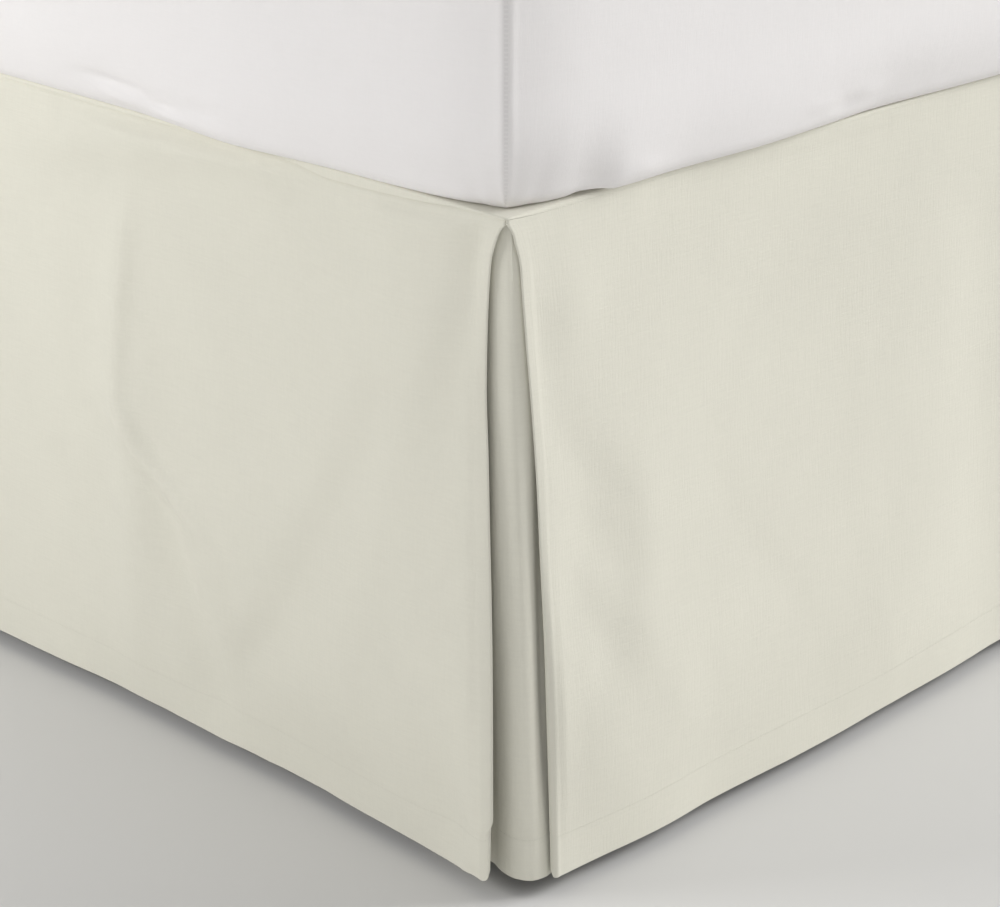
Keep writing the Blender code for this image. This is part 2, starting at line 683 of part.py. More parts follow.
clear_scene()
build_deck()
build_panel("side_panel_left", LEFT_PANEL)
build_panel("foot_panel", FOOT_PANEL)
build_panel("side_panel_right", RIGHT_PANEL)
build_underlay("corner_underlay_left", LEFT_UNDERLAY, -1)
build_underlay("corner_underlay_right", RIGHT_UNDERLAY, 1)
build_base()
build_legs()
build_mattress()
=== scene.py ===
import math
from collections import namedtuple

import bmesh
import bpy
import numpy as np
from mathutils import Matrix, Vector, noise


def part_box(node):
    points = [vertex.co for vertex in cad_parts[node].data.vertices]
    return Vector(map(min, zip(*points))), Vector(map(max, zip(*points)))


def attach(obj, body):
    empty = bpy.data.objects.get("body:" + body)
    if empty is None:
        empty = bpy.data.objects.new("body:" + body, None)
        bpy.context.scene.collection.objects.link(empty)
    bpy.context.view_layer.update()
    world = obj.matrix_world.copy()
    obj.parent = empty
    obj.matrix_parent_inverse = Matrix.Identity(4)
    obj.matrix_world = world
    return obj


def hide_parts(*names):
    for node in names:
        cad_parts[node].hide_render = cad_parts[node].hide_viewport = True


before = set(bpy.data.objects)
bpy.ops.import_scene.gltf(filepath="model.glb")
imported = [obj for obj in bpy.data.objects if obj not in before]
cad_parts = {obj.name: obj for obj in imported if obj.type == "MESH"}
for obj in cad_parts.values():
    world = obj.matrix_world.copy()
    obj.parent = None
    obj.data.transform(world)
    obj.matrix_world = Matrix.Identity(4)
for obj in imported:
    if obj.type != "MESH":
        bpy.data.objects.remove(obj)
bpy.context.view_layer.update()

print("frame loaded:", ", ".join(sorted(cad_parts)))

# What the frame says about the bed and the skirt, in metres
deckLow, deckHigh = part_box("deck")
baseLow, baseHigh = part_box("bed_base")
mattressLow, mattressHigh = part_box("mattress")
leftX, rightX, footY, headY = deckLow.x, deckHigh.x, deckLow.y, baseHigh.y
deckTop, seamZ, hemZ = deckHigh.z, baseHigh.z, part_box("side_panel_left")[0].z
dropLength = seamZ - hemZ
deckWidth, deckLength = rightX - leftX, headY - footY
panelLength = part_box("side_panel_left")[1].y - footY
hemDepth = 0.025  # a one inch hem, turned double

# Tables are read from a foot corner (along) and from the seam downwards (down), in metres.
# A fold is its line of (down, along), its reach to the near and to the far side, and its height.
# A swell is its along and down, its long and short reach, its turn in degrees and its height.
Drop = namedtuple(
    "Drop", "corner run outward length hemOut seamDip nearEdge farEdge folds swells look"
)
Stop = namedtuple("Stop", "point way along side toSeam slide swing")


# Camera, at the photo's angle
view = {
    "lens": 101.88,
    "sensor": 36.0,
    "pitchDown": 21.7,
    "turn": 45.11,
    "back": (0.975, 0.967),
    "height": 0.812,
    "clip": (0.05, 60),
}


def placeCamera():
    camera = bpy.data.objects.new("camera", bpy.data.cameras.new("camera"))
    camera.data.lens = view["lens"]
    camera.data.sensor_width = view["sensor"]
    camera.data.clip_start, camera.data.clip_end = view["clip"]
    pitch, turn = math.radians(view["pitchDown"]), math.radians(view["turn"])
    level = math.cos(pitch)
    forward = Vector((math.sin(turn) * level, math.cos(turn) * level, -math.sin(pitch)))
    camera.location = (leftX - view["back"][0], footY - view["back"][1], view["height"])
    camera.rotation_euler = forward.to_track_quat("-Z", "Y").to_euler()
    bpy.context.scene.collection.objects.link(camera)
    bpy.context.scene.camera = camera


placeCamera()
print("camera placed")


# Shader maths
class Wire:
    # a socket that adds its own Math nodes when it meets a number or another wire
    def __init__(self, bench, socket):
        self.bench = bench
        self.socket = socket

    def join(self, operation, first, second):
        return self.bench.maths(operation, first, second)

    def __add__(self, other):
        return self.join("ADD", self, other)

    def __radd__(self, other):
        return self.join("ADD", other, self)

    def __sub__(self, other):
        return self.join("SUBTRACT", self, other)

    def __rsub__(self, other):
        return self.join("SUBTRACT", other, self)

    def __mul__(self, other):
        return self.join("MULTIPLY", self, other)

    def __rmul__(self, other):
        return self.join("MULTIPLY", other, self)

    def __gt__(self, other):
        return self.join("GREATER_THAN", self, other)

    def __lt__(self, other):
        return self.join("LESS_THAN", self, other)


class Bench:
    # one material's node tree, with its Principled shader ready
    def __init__(self, name):
        self.material = bpy.data.materials.new(name)
        self.material.use_nodes = True
        self.tree = self.material.node_tree
        self.shader = self.tree.nodes["Principled BSDF"]

    def node(self, kind, settings=None, values=None, out=0):
        made = self.tree.nodes.new(kind)
        for key, value in (settings or {}).items():
            setattr(made, key, value)
        for key, value in (values or {}).items():
            self.feed(made.inputs[key], value)
        return Wire(self, made.outputs[out])

    def feed(self, socket, value):
        if isinstance(value, Wire):
            self.tree.links.new(value.socket, socket)
        else:
            socket.default_value = value

    def set(self, **values):
        for name, value in values.items():
            self.feed(self.shader.inputs[name.replace("_", " ")], value)

    def noise(self, coordinates, scale, detail=2.0, stretch=(1, 1, 1), roughness=0.5):
        placed = self.node("ShaderNodeMapping", None, {"Vector": coordinates, "Scale": stretch})
        return self.node(
            "ShaderNodeTexNoise", None,
            {"Vector": placed, "Scale": scale, "Detail": detail, "Roughness": roughness},
        )

    def maths(self, operation, *values):
        return self.node("ShaderNodeMath", {"operation": operation}, dict(enumerate(values)))

    def mixColour(self, factor, first, second):
        values = {0: factor, 6: first, 7: second}
        return self.node("ShaderNodeMix", {"data_type": "RGBA"}, values, out=2)

    def part(self, wire, out):
        # another output of the node that a wire comes from
        return Wire(self, wire.socket.node.outputs[out])


def shade(colour, factor):
    return tuple(channel * factor for channel in colour) + (1.0,)


# The skirt's cloth: a fine, matt plain weave
skirtLook = {
    "colour": (0.7, 0.684, 0.594),
    "pale": 1.03,
    "deep": 0.965,
    "threadPitch": 0.0007,
    "threadRun": 0.004,
    "roughness": 0.86,
    "sheen": 0.12,
    "weaveDepth": 0.00006,
    "slubDepth": 0.0001,
    "rumpleDepth": 0.00022,
    # painted shade: tone, width and starting depth of the darkened strip along the open edge at the
    # pleat
    "doubled": 0.94,
    "shadedStripAcross": (0.007, 0.0105),
    "shadedStripFrom": 0.14,
}
hemStitch = {"level": dropLength - hemDepth, "pitch": 0.0016, "gap": 0.22, "thread": 0.00032,
             "shade": 0.88, "show": 0.22, "raised": 0.00012}
seamStitch = {"attribute": "fromSeam", "pitch": 0.0012, "gap": 0.0005, "reach": 0.0007,
              "shade": 0.74, "show": 0.2, "sunk": 0.00012}
toneShares = (0.9, 0.75, 0.55, 0.5)  # of the clouds, the slubs each way and the specks


def wovenCloth(name, look, coordinates="UV", hem=None, seam=None):
    bench = Bench(name)
    source = bench.node("ShaderNodeTexCoord", out={"UV": 2, "Object": 3}[coordinates])
    axes = bench.node("ShaderNodeSeparateXYZ", None, {0: source})
    across, upDown = bench.part(axes, 0), bench.part(axes, 1)
    fine, run = 1 / look["threadPitch"], 1 / look["threadRun"]
    flat = coordinates == "UV"

    def streaks(first, second, detail):
        # upright pieces read Object coordinates, where both level ways run across the cloth
        stretch = (first, second, 1) if flat else (first, first, second)
        return bench.noise(source, 1.0, detail, stretch)

    # threads one way and the other, each an uneven streak, so that no two lie quite alike
    weave = streaks(fine, run, 1.0) + streaks(run, fine, 1.0)
    slubAcross = streaks(run / 5, fine / 2, 2.0)
    slubDown = streaks(fine / 2, run / 5, 2.0)
    cloud = bench.noise(source, 14.0, 3.0)
    speck = bench.noise(source, 420.0, 2.0)
    tone = 0.5
    for wire, share in zip((cloud, slubAcross, slubDown, speck), toneShares):
        tone = tone + (wire - 0.5) * share
    plain = look["colour"]
    colour = bench.mixColour(tone, shade(plain, look["deep"]), shade(plain, look["pale"]))
    rumple = bench.noise(source, 34.0, 3.0, (1, 1, 1), 0.55)
    height = (
        weave * look["weaveDepth"]
        + (slubAcross + slubDown) * look["slubDepth"]
        + rumple * look["rumpleDepth"]
    )
    if hem is not None:
        # a fine row of stitches lies a hem's depth above the bottom edge
        offLine = bench.maths("ABSOLUTE", upDown + hem["level"])
        along = bench.maths("PINGPONG", across, hem["pitch"])
        dash = (along > hem["pitch"] * hem["gap"]) * (offLine < hem["thread"])
        colour = bench.mixColour(dash * hem["show"], colour, shade(plain, hem["shade"]))
        height = height + dash * hem["raised"]
        # painted shade: a narrow strip along each panel's open edge at the corner pleat, where the
        # side hem lies double, is darkened in colour, more towards the floor, standing in for the
        # shade there
        first, last = look["shadedStripAcross"]
        shadedStrip = bench.node("ShaderNodeMapRange", {"interpolation_type": "SMOOTHSTEP"},
                           {0: across, 1: first, 2: last, 3: 1.0, 4: 0.0})
        low = bench.node("ShaderNodeMapRange", None,
                         {0: upDown, 1: -look["shadedStripFrom"], 2: -dropLength, 3: 0.0, 4: 1.0})
        colour = bench.mixColour(shadedStrip * low, colour, shade(plain, look["doubled"]))
    if seam is not None:
        # stitches sit in the seam, dark where the thread dips
        apart = bench.node("ShaderNodeAttribute", {"attribute_name": seam["attribute"]}, out=2)
        along = bench.maths("PINGPONG", bench.part(axes, 2), seam["pitch"])
        dash = (along > seam["gap"]) * (apart < seam["reach"])
        colour = bench.mixColour(dash * seam["show"], colour, shade(plain, seam["shade"]))
        height = height - dash * seam["sunk"]
    bump = bench.node("ShaderNodeBump", None, {"Strength": 1.0, "Distance": 1.0, "Height": height})
    bench.set(Base_Color=colour, Roughness=look["roughness"], Normal=bump)
    bench.set(Sheen_Weight=look["sheen"], Sheen_Roughness=0.5, Specular_IOR_Level=0.25)
    return bench.material


skirtCloth = wovenCloth("skirt_cloth", skirtLook, hem=hemStitch)
deckCloth = wovenCloth("deck_cloth", skirtLook)
print("skirt cloth mixed")


# Curves and folds
foldFade = 0.3  # the share of its length over which a fold comes and goes


def readTable(rows, at):
    # a smooth curve through a short two-column table, level with its neighbours' slopes
    keys, values = (np.array(column, float) for column in zip(*rows))
    if len(keys) < 3:
        return np.interp(at, keys, values)
    slopes = np.diff(values) / np.diff(keys)
    tangents = np.concatenate([[slopes[0]], (slopes[:-1] + slopes[1:]) / 2, [slopes[-1]]])
    tangents[1:-1] = np.where(slopes[:-1] * slopes[1:] <= 0, 0, tangents[1:-1])
    at = np.clip(at, keys[0], keys[-1])
    spot = np.clip(np.searchsorted(keys, at, "right") - 1, 0, len(keys) - 2)
    span = keys[spot + 1] - keys[spot]
    t = (at - keys[spot]) / span
    return (
        (2 * t**3 - 3 * t**2 + 1) * values[spot]
        + (t**3 - 2 * t**2 + t) * span * tangents[spot]
        + (3 * t**2 - 2 * t**3) * values[spot + 1]
        + (t**3 - t**2) * span * tangents[spot + 1]
    )


def readOne(rows, at):
    return float(readTable(rows, np.array([at]))[0])


def ease(value):
    value = np.clip(value, 0, 1)
    return value * value * (3 - 2 * value)


def bell(offset, reach):
    # a soft hump, 1 in its middle
    return np.exp(-((offset / reach) ** 2))


def nearness(distance, reach):
    # 1 at an edge, falling evenly to 0 at the reach
    return np.clip(1 - distance / reach, 0, 1)


def steps(length, spacing):
    # places along a length, closer together where the table says so
    stops = [0.0]
    while stops[-1] < length:
        stops.append(stops[-1] + float(np.interp(stops[-1], *zip(*spacing))))
    stops = np.array(stops)
    return stops * (length / stops[-1])


def foldOut(fold, along, down):
    line, near, far, out = fold
    first, last = line[0][0], line[-1][0]
    fade = foldFade * (last - first)
    strength = ease((down - first) / fade + 0.5)
    if last < dropLength - 0.0001:  # the others run off the hem
        strength = strength * ease((last - down) / fade + 0.5)
    offset = along - readTable(line, down)
    return out * strength * bell(offset, np.where(offset > 0, far, near))


def swellOut(swell, along, down):
    atAlong, atDown, long, short, turn, out = swell
    slant = math.radians(turn)
    across, fall = along - atAlong, down - atDown
    one = (across * math.cos(slant) + fall * math.sin(slant)) / long
    other = (fall * math.cos(slant) - across * math.sin(slant)) / short
    return out * np.exp(-(one**2) - other**2)


def softNoise(along, down, scale, seed):
    # slow, even unevenness, the same on each run
    return np.array([
        noise.noise(Vector((a * scale, d * scale, seed))) for a, d in zip(along, down)
    ])


# Pieces out of grids
sheetSmooth = 0.9  # the angle, in radians, up to which a sheet's faces are shaded as one


def gridPiece(columns, rows, place, closed=False):
    # a bmesh grid whose columns and rows are laid where `place` says
    shape = bmesh.new()
    bmesh.ops.create_grid(shape, x_segments=len(columns) - 1, y_segments=len(rows) - 1, size=0.5)
    flat = np.array([vert.co for vert in shape.verts])
    share = (flat - flat.min(0)) / np.maximum(np.ptp(flat, axis=0), 1e-9)
    column = columns[np.rint(share[:, 0] * (len(columns) - 1)).astype(int)]
    row = rows[np.rint(share[:, 1] * (len(rows) - 1)).astype(int)]
    points = place(column, row)
    for vert, point in zip(shape.verts, points):
        vert.co = point
    uv = shape.loops.layers.uv.new("cloth")
    for face in shape.faces:
        for loop in face.loops:
            loop[uv].uv = (column[loop.vert.index], -row[loop.vert.index])
    if closed:
        bmesh.ops.remove_doubles(shape, verts=shape.verts, dist=0.00002)
    return shape


def facing(shape, outward):
    # turns the grid over if its faces look away from where they should
    shape.normal_update()
    total = sum((face.normal * face.calc_area() for face in shape.faces), Vector())
    if total.dot(Vector(outward)) < 0:
        bmesh.ops.reverse_faces(shape, faces=shape.faces)


def finishPiece(name, shape, material, smooth=sheetSmooth):
    mesh = bpy.data.meshes.new(name)
    shape.to_mesh(mesh)
    shape.free()
    mesh.materials.append(material)
    mesh.shade_smooth()
    mesh.set_sharp_from_angle(angle=smooth)
    piece = bpy.data.objects.new(name, mesh)
    bpy.context.scene.collection.objects.link(piece)
    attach(piece, "root")
    return piece


def thicken(piece, single, layers):
    # gives a sheet its thickness inwards, more where hems lie double
    group = piece.vertex_groups.new(name="layers")
    for index, share in enumerate(layers):
        group.add([index], float(share), "REPLACE")
    solid = piece.modifiers.new("thickness", "SOLIDIFY")
    solid.thickness = single / min(layers)
    solid.offset = -1
    solid.vertex_group = group.name
    solid.use_rim = True
    graph = bpy.context.evaluated_depsgraph_get()
    full = bpy.data.meshes.new_from_object(piece.evaluated_get(graph))
    piece.modifiers.clear()
    piece.vertex_groups.clear()
    old, piece.data = piece.data, full
    bpy.data.meshes.remove(old)
    full.name = piece.name
    full.shade_smooth()
    full.set_sharp_from_angle(angle=sheetSmooth)


# The hung panels
hang = {
    "single": 0.0007,
    "hemLayers": 2.0,
    "hemRise": 0.00012,
    "sideHem": 0.0095,
    "sideRise": 0.0003,
    "sideStart": 0.04,
    "sideDoubled": 0.03,
    "turnWide": 0.003,
    "edgeRound": 0.0009,
    "edgeDrawn": 0.8,
    "tuckDeep": 0.0007,
    "tuckReach": 0.0011,
    "edgeReach": 0.06,
    "foldStart": 0.12,
    "swellStart": 0.012,
    "calmFrom": 0.001,
    "calmEdge": 0.018,
    "trimTall": 0.08,
    "noise": 0.00035,
    "noiseScale": 9,
    "noiseStart": 0.06,
    "seamPucker": 0.00028,
    "puckerScale": 75,
    "puckerSlow": 0.25,
    "puckerStart": 0.004,
    "puckerReach": 0.02,
    "nose": 0.0022,
    "noseTall": 0.007,
    "noseWide": 0.003,
    "farCorner": 0.4,
    "seamGap": 0.00005,
}
fineColumns = [(0, 0.0006), (0.003, 0.001), (0.014, 0.002), (0.05, 0.0034), (0.34, 0.0038),
               (0.43, 0.011), (1.9, 0.013), (2.029, 0.006)]
plainColumns = [(0, 0.0012), (0.01, 0.003), (0.06, 0.008), (0.3, 0.012), (2.029, 0.016)]
fineRows = [(0, 0.0005), (0.004, 0.0013), (0.03, 0.0034), (0.34, 0.0046), (0.351, 0.0012),
            (0.361, 0.0012), (0.369, 0.003), (0.378, 0.001), (0.381, 0.0008)]
plainRows = [(0, 0.0006), (0.004, 0.002), (0.04, 0.008), (0.34, 0.01), (0.351, 0.002),
             (0.361, 0.002), (0.369, 0.004), (0.378, 0.0014), (0.381, 0.0012)]
straightEdge = [(0, 0), (dropLength, 0)]
plainEdge = [(0, 0.0002), (0.008, 0.005), (0.027, 0.01), (0.098, 0.0125), (dropLength, 0.013)]

leftDrop = Drop(
    corner=(leftX, footY), run=(0, 1), outward=(-1, 0), length=panelLength,
    hemOut=[(0, 0.01), (0.01, 0.0094), (0.024, 0.0083), (0.06, 0.0059), (0.083, 0.0047),
            (0.116, 0.0031), (0.245, 0.0027), (0.33, 0.0012), (0.48, 0.0045), (0.76, 0.0015),
            (1.04, 0.006), (1.36, 0.002), (1.7, 0.0065), (deckLength, 0.005)],
    seamDip=[(0, -0.0012), (0.033, -0.0007), (0.048, 0.0006), (0.066, 0.002), (0.1, 0.0034),
             (0.134, 0.0041), (0.16, 0.0012), (0.2, 0.0003), (0.32, 0.0008), (deckLength, 0.0008)],
    nearEdge=[(0, 0.0002), (0.002, 0.0004), (0.005, 0.0033), (0.0084, 0.0054), (0.0158, 0.0081),
              (0.0227, 0.01), (0.03, 0.0107), (0.04, 0.0113), (0.076, 0.0121), (0.098, 0.012),
              (0.136, 0.0097), (0.175, 0.0077), (0.209, 0.0058), (0.267, 0.0033), (0.315, 0.0019),
              (0.344, 0.0012), (0.349, 0.0011), (0.354, 0.0026), (dropLength, 0.0026)],
    farEdge=straightEdge,
    folds=[
        ([(0.05, 0.171), (0.152, 0.122), (0.219, 0.167), (0.256, 0.189), (0.325, 0.223)],
         0.01, 0.09, -0.0008),
        ([(0.1, 0.086), (0.152, 0.103), (0.219, 0.144), (0.256, 0.166), (0.325, 0.21)],
         0.034, 0.019, -0.0043),
        ([(0.15, 0.461), (0.224, 0.308), (0.282, 0.196), (0.325, 0.212)], 0.039, 0.02, -0.0011),
        ([(0.03, 0.036), (0.133, 0.077), (0.221, 0.1), (0.34, 0.131)], 0.012, 0.026, 0.0012),
        ([(0.04, 0.311), (0.17, 0.324), (0.26, 0.233)], 0.01, 0.022, 0.0052),
        ([(0.012, 0.159), (0.03, 0.175), (0.06, 0.155)], 0.07, 0.087, -0.0039),
        ([(0.02, 0.48), (0.2, 0.5), (dropLength, 0.545)], 0.045, 0.06, 0.004),
        ([(0.03, 0.7), (0.22, 0.665), (dropLength, 0.64)], 0.04, 0.055, -0.0035),
        ([(0.02, 0.93), (0.2, 0.95), (dropLength, 0.985)], 0.07, 0.05, 0.004),
        ([(0.06, 1.2), (0.24, 1.215), (dropLength, 1.26)], 0.045, 0.06, -0.003),
        ([(0.02, 1.51), (0.2, 1.49), (dropLength, 1.44)], 0.06, 0.07, 0.004),
        ([(0.03, 1.78), (0.2, 1.8), (dropLength, 1.84)], 0.05, 0.06, -0.0032),
    ],
    swells=[
        (0.015, 0.021, 0.105, 0.017, -103, -0.0052), (0.105, 0.05, 0.074, 0.017, 6, 0.0052),
        (0.06, 0.076, 0.152, 0.064, 85, 0.0051), (0.127, 0.185, 0.053, 0.113, 146, 0.0052),
        (0.245, 0.364, 0.147, 0.04, 29, -0.0045), (0.179, 0.323, 0.144, 0.053, 4, 0.0052),
        (0.265, 0.292, 0.017, 0.105, 23, -0.0052), (0.048, 0.256, 0.067, 0.053, 52, 0.0052),
        (0.264, 0.009, 0.16, 0.017, -171, 0.0052), (0.315, 0.235, 0.16, 0.022, 87, 0.0052),
        (0.064, 0.041, 0.137, 0.019, 11, -0.0044), (0.026, 0.364, 0.018, 0.074, 31, -0.0052),
        (0.255, 0.233, 0.053, 0.153, -114, 0.005),
    ],
    look={"columns": fineColumns, "rows": fineRows, "seed": 3.1, "tuck": 1.0, "hemCorner": 0.008,
          "curl": [(0, 0), (0.03, 0.0003), (0.12, 0.0009), (0.23, 0.0014), (dropLength, 0.0016)],
          "curlReach": 0.007,
          "hemTrim": [(0.0026, 0), (0.008, 0.0003), (0.015, 0.0028), (0.022, 0.0043),
                      (0.031, 0.0021), (0.04, 0.0002), (0.055, -0.0011), (0.08, -0.0015),
                      (0.11, -0.0015), (0.133, -0.0023), (0.154, -0.0036), (0.176, -0.0036),
                      (0.19, -0.0032), (0.2, -0.0022), (0.212, -0.0009), (0.225, 0.0012),
                      (0.237, 0.0021), (0.258, 0.0013), (0.282, 0.0014), (0.305, -0.0001),
                      (0.327, -0.0015), (0.36, -0.0008), (0.4, 0)]},
)
footDrop = Drop(
    corner=(leftX, footY), run=(1, 0), outward=(0, -1), length=deckWidth,
    hemOut=[(0, 0.018), (0.056, 0.0175), (0.116, 0.0196), (0.153, 0.0183), (0.238, 0.0198),
            (0.301, 0.0188), (0.48, 0.014), (0.66, 0.0185), (0.86, 0.013), (1.06, 0.018),
            (1.26, 0.012), (1.43, 0.0165), (deckWidth, 0.015)],
    seamDip=[(0, -0.0012), (0.02, 0), (0.066, 0.0004), (deckWidth - 0.066, 0.0004),
             (deckWidth - 0.033, 0), (deckWidth, -0.001)],
    nearEdge=[(0, 0.0002), (0.002, 0.0004), (0.0045, 0.0026), (0.0076, 0.0046), (0.0138, 0.0064),
              (0.02, 0.0083), (0.0277, 0.0094), (0.037, 0.0098), (0.065, 0.0115), (0.098, 0.0137),
              (0.143, 0.0161), (0.188, 0.0171), (0.258, 0.0186), (0.318, 0.0186),
              (dropLength, 0.0181)],
    farEdge=plainEdge,
    folds=[
        ([(0.013, -0.015), (0.064, 0.021), (0.125, 0.038), (0.19, 0.085), (0.264, 0.061),
          (0.32, 0.043)], 0.019, 0.019, -0.001),
        ([(0.1, 0.072), (0.215, 0.079), (0.33, 0.129)], 0.09, 0.022, 0.001),
        ([(0.06, 0.199), (0.17, 0.161), (0.3, 0.245)], 0.017, 0.013, -0.0003),
        ([(0.05, 0.297), (0.2, 0.297), (0.381, 0.329)], 0.016, 0.01, 0.0002),
        ([(0.03, 0.42), (0.2, 0.43), (dropLength, 0.45)], 0.045, 0.06, -0.0035),
        ([(0.02, 0.64), (0.2, 0.655), (dropLength, 0.675)], 0.06, 0.05, 0.0025),
        ([(0.04, 0.88), (0.2, 0.865), (dropLength, 0.85)], 0.05, 0.06, -0.0034),
        ([(0.02, 1.1), (0.2, 1.085), (dropLength, 1.065)], 0.055, 0.055, 0.0028),
        ([(0.05, 1.3), (0.2, 1.29), (dropLength, 1.27)], 0.045, 0.05, -0.0032),
        ([(0.04, 1.44), (0.2, 1.425), (dropLength, 1.415)], 0.035, 0.03, -0.0024),
    ],
    swells=[
        (0.036, 0.265, 0.017, 0.063, -1, -0.0015), (0.057, 0.307, 0.039, 0.075, -23, 0.0052),
        (0.064, 0.218, 0.017, 0.034, -24, 0.0043), (0.049, 0.056, 0.027, 0.019, 107, 0.0018),
        (0.098, 0.204, 0.075, 0.017, -88, 0.0014), (0.138, 0.291, 0.065, 0.068, 76, 0.0052),
        (0.059, 0.207, 0.02, 0.044, -13, -0.0052), (0.246, 0.11, 0.107, 0.079, -182, -0.0048),
        (0.312, 0.343, 0.035, 0.06, 62, 0.0039), (0.131, 0.311, 0.018, 0.09, -89, -0.0004),
    ],
    look={"columns": fineColumns, "rows": fineRows, "seed": 8.4, "tuck": 0.0, "hemCorner": 0.004,
          "curl": [(0, 0), (0.1, 0.0002), (0.18, 0.0008), (0.24, 0.0019), (0.3, 0.0028),
                   (dropLength, 0.003)],
          "curlReach": 0.009,
          "hemTrim": [(0.22, 0), (0.27, -0.0013), (0.31, -0.0023), (0.36, -0.0012), (0.42, 0)]},
)
rightDrop = Drop(
    corner=(rightX, footY), run=(0, 1), outward=(1, 0), length=panelLength,
    hemOut=[(0, 0.009), (0.09, 0.007), (0.3, 0.002), (0.56, 0.006), (0.86, 0.0015),
            (1.16, 0.0065), (1.48, 0.002), (1.78, 0.006), (deckLength, 0.004)],
    seamDip=[(0, -0.001), (0.033, 0), (0.066, 0.0008), (deckLength, 0.0008)],
    nearEdge=plainEdge,
    farEdge=straightEdge,
    folds=[
        ([(0.02, 0.12), (0.19, 0.135), (0.33, 0.16)], 0.028, 0.032, -0.003),
        ([(0.03, 0.26), (0.2, 0.24), (dropLength, 0.215)], 0.05, 0.06, 0.0034),
        ([(0.02, 0.56), (0.2, 0.58), (dropLength, 0.62)], 0.06, 0.045, 0.0038),
        ([(0.05, 0.8), (0.2, 0.78), (dropLength, 0.76)], 0.045, 0.06, -0.0034),
        ([(0.02, 1.1), (0.2, 1.12), (dropLength, 1.16)], 0.06, 0.06, 0.0038),
        ([(0.05, 1.42), (0.2, 1.4), (dropLength, 1.37)], 0.05, 0.06, -0.003),
        ([(0.02, 1.74), (0.2, 1.75), (dropLength, 1.785)], 0.06, 0.06, 0.0036),
    ],
    swells=[],
    look={"columns": plainColumns, "rows": plainRows, "seed": 5.7, "tuck": 0.8, "hemCorner": 0.006,
          "curl": [(0, 0), (0.18, 0.0008), (dropLength, 0.0018)], "curlReach": 0.009,
          "hemTrim": [(0, 0), (deckLength, 0)]},
)


def turnedStep(distance):
    # 0 before the edge of a turned layer and 1 past it
    return ease(distance / hang["turnWide"] + 0.5)


def hangPanel(drop, column, down):
    # where each point of one drop of cloth hangs, its outer face
    look = drop.look
    fromNear, fromFar = column, drop.length - column
    distance = np.minimum(fromNear, fromFar)
    along = column + readTable(drop.nearEdge, down) * nearness(fromNear, hang["edgeReach"])
    along = along - readTable(drop.farEdge, down) * nearness(fromFar, hang["edgeReach"])
    out = readTable(drop.hemOut, along) * down / dropLength
    # the open edge itself hangs calm, in the line its hem gives it
    calm = ease((fromNear - hang["calmFrom"]) / hang["calmEdge"])
    folds = sum(foldOut(fold, along, down) for fold in drop.folds)
    swells = sum(swellOut(swell, along, down) for swell in drop.swells)
    out = out + calm * folds * ease(down / hang["foldStart"])
    out = out + calm * swells * ease(down / hang["swellStart"])
    # the doubled hem pulls itself straighter than the cloth above
    fromHem = dropLength - down
    out = out + readTable(look["hemTrim"], along) * ease(1 - fromHem / hang["trimTall"])
    uneven = softNoise(along, down, hang["noiseScale"], look["seed"])
    out = out + uneven * hang["noise"] * ease(down / hang["noiseStart"])
    # small puckers under the seam, and the cloth's own tuck where it is sewn to the deck
    ripple = softNoise(along, down * hang["puckerSlow"], hang["puckerScale"], look["seed"] + 20)
    ripple = ripple * hang["seamPucker"] * ease(down / hang["puckerStart"])
    out = out + ripple * np.exp(-down / hang["puckerReach"])
    out = out - hang["tuckDeep"] * look["tuck"] * bell(down, hang["tuckReach"])
    # the hem's turned layers stand a little proud, and so does the turned side hem
    out = out + hang["hemRise"] * turnedStep(down - (dropLength - hemDepth))
    sideStep = turnedStep(hang["sideHem"] - distance) * ease(down / hang["sideStart"])
    out = out + hang["sideRise"] * sideStep
    out = out - hang["edgeRound"] * hang["edgeDrawn"] * nearness(distance, hang["edgeRound"]) ** 2
    # the open edges curl a little towards the underlay
    curl = readTable(look["curl"], down) * nearness(fromNear, look["curlReach"]) ** 2
    along, out = along + curl, out - curl
    # the top corners are sewn together as one soft nose
    nose = hang["nose"] * ease(1 - down / hang["noseTall"])
    if drop.nearEdge is not straightEdge:
        out = out - nose * nearness(along, hang["noseWide"]) ** 2
        along = np.maximum(along, -out)
    if drop.farEdge is not straightEdge:
        out = out - nose * nearness(drop.length - along, hang["noseWide"]) ** 2
        along = np.minimum(along, drop.length + out)
    # the hem's own corners are a little rounded
    radius = look["hemCorner"]
    inCorner = np.clip(radius - distance, 0, radius)
    lift = radius - np.sqrt(radius**2 - inCorner**2)
    lift = np.where(fromFar < fromNear, lift * hang["farCorner"], lift)
    seam = seamZ - readTable(drop.seamDip, along) - hang["seamGap"]
    place = np.zeros((len(column), 3))
    for axis in (0, 1):
        place[:, axis] = drop.corner[axis] + drop.run[axis] * along + drop.outward[axis] * out
    place[:, 2] = seam + (hemZ + lift - seam) * down / dropLength
    return place


def hangCloth(name, node, shape, outward, sidesTo=None):
    # finishes one hung sheet, double where its bottom and side hems are turned
    facing(shape, outward)
    uv = shape.loops.layers.uv.active
    spots = {loop.vert.index: tuple(loop[uv].uv) for face in shape.faces for loop in face.loops}
    layers = []
    for index in range(len(shape.verts)):
        at, down = spots[index][0], -spots[index][1]
        doubled = down > dropLength - hemDepth
        if sidesTo is not None and down > hang["sideDoubled"]:
            doubled = doubled or min(at, sidesTo - at) < hang["sideHem"]
        layers.append(1.0 if doubled else 1 / hang["hemLayers"])
    piece = finishPiece(name, shape, skirtCloth)
    thicken(piece, hang["single"], layers)
    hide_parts(node)
    print(name, "hung,", len(piece.data.polygons), "faces")


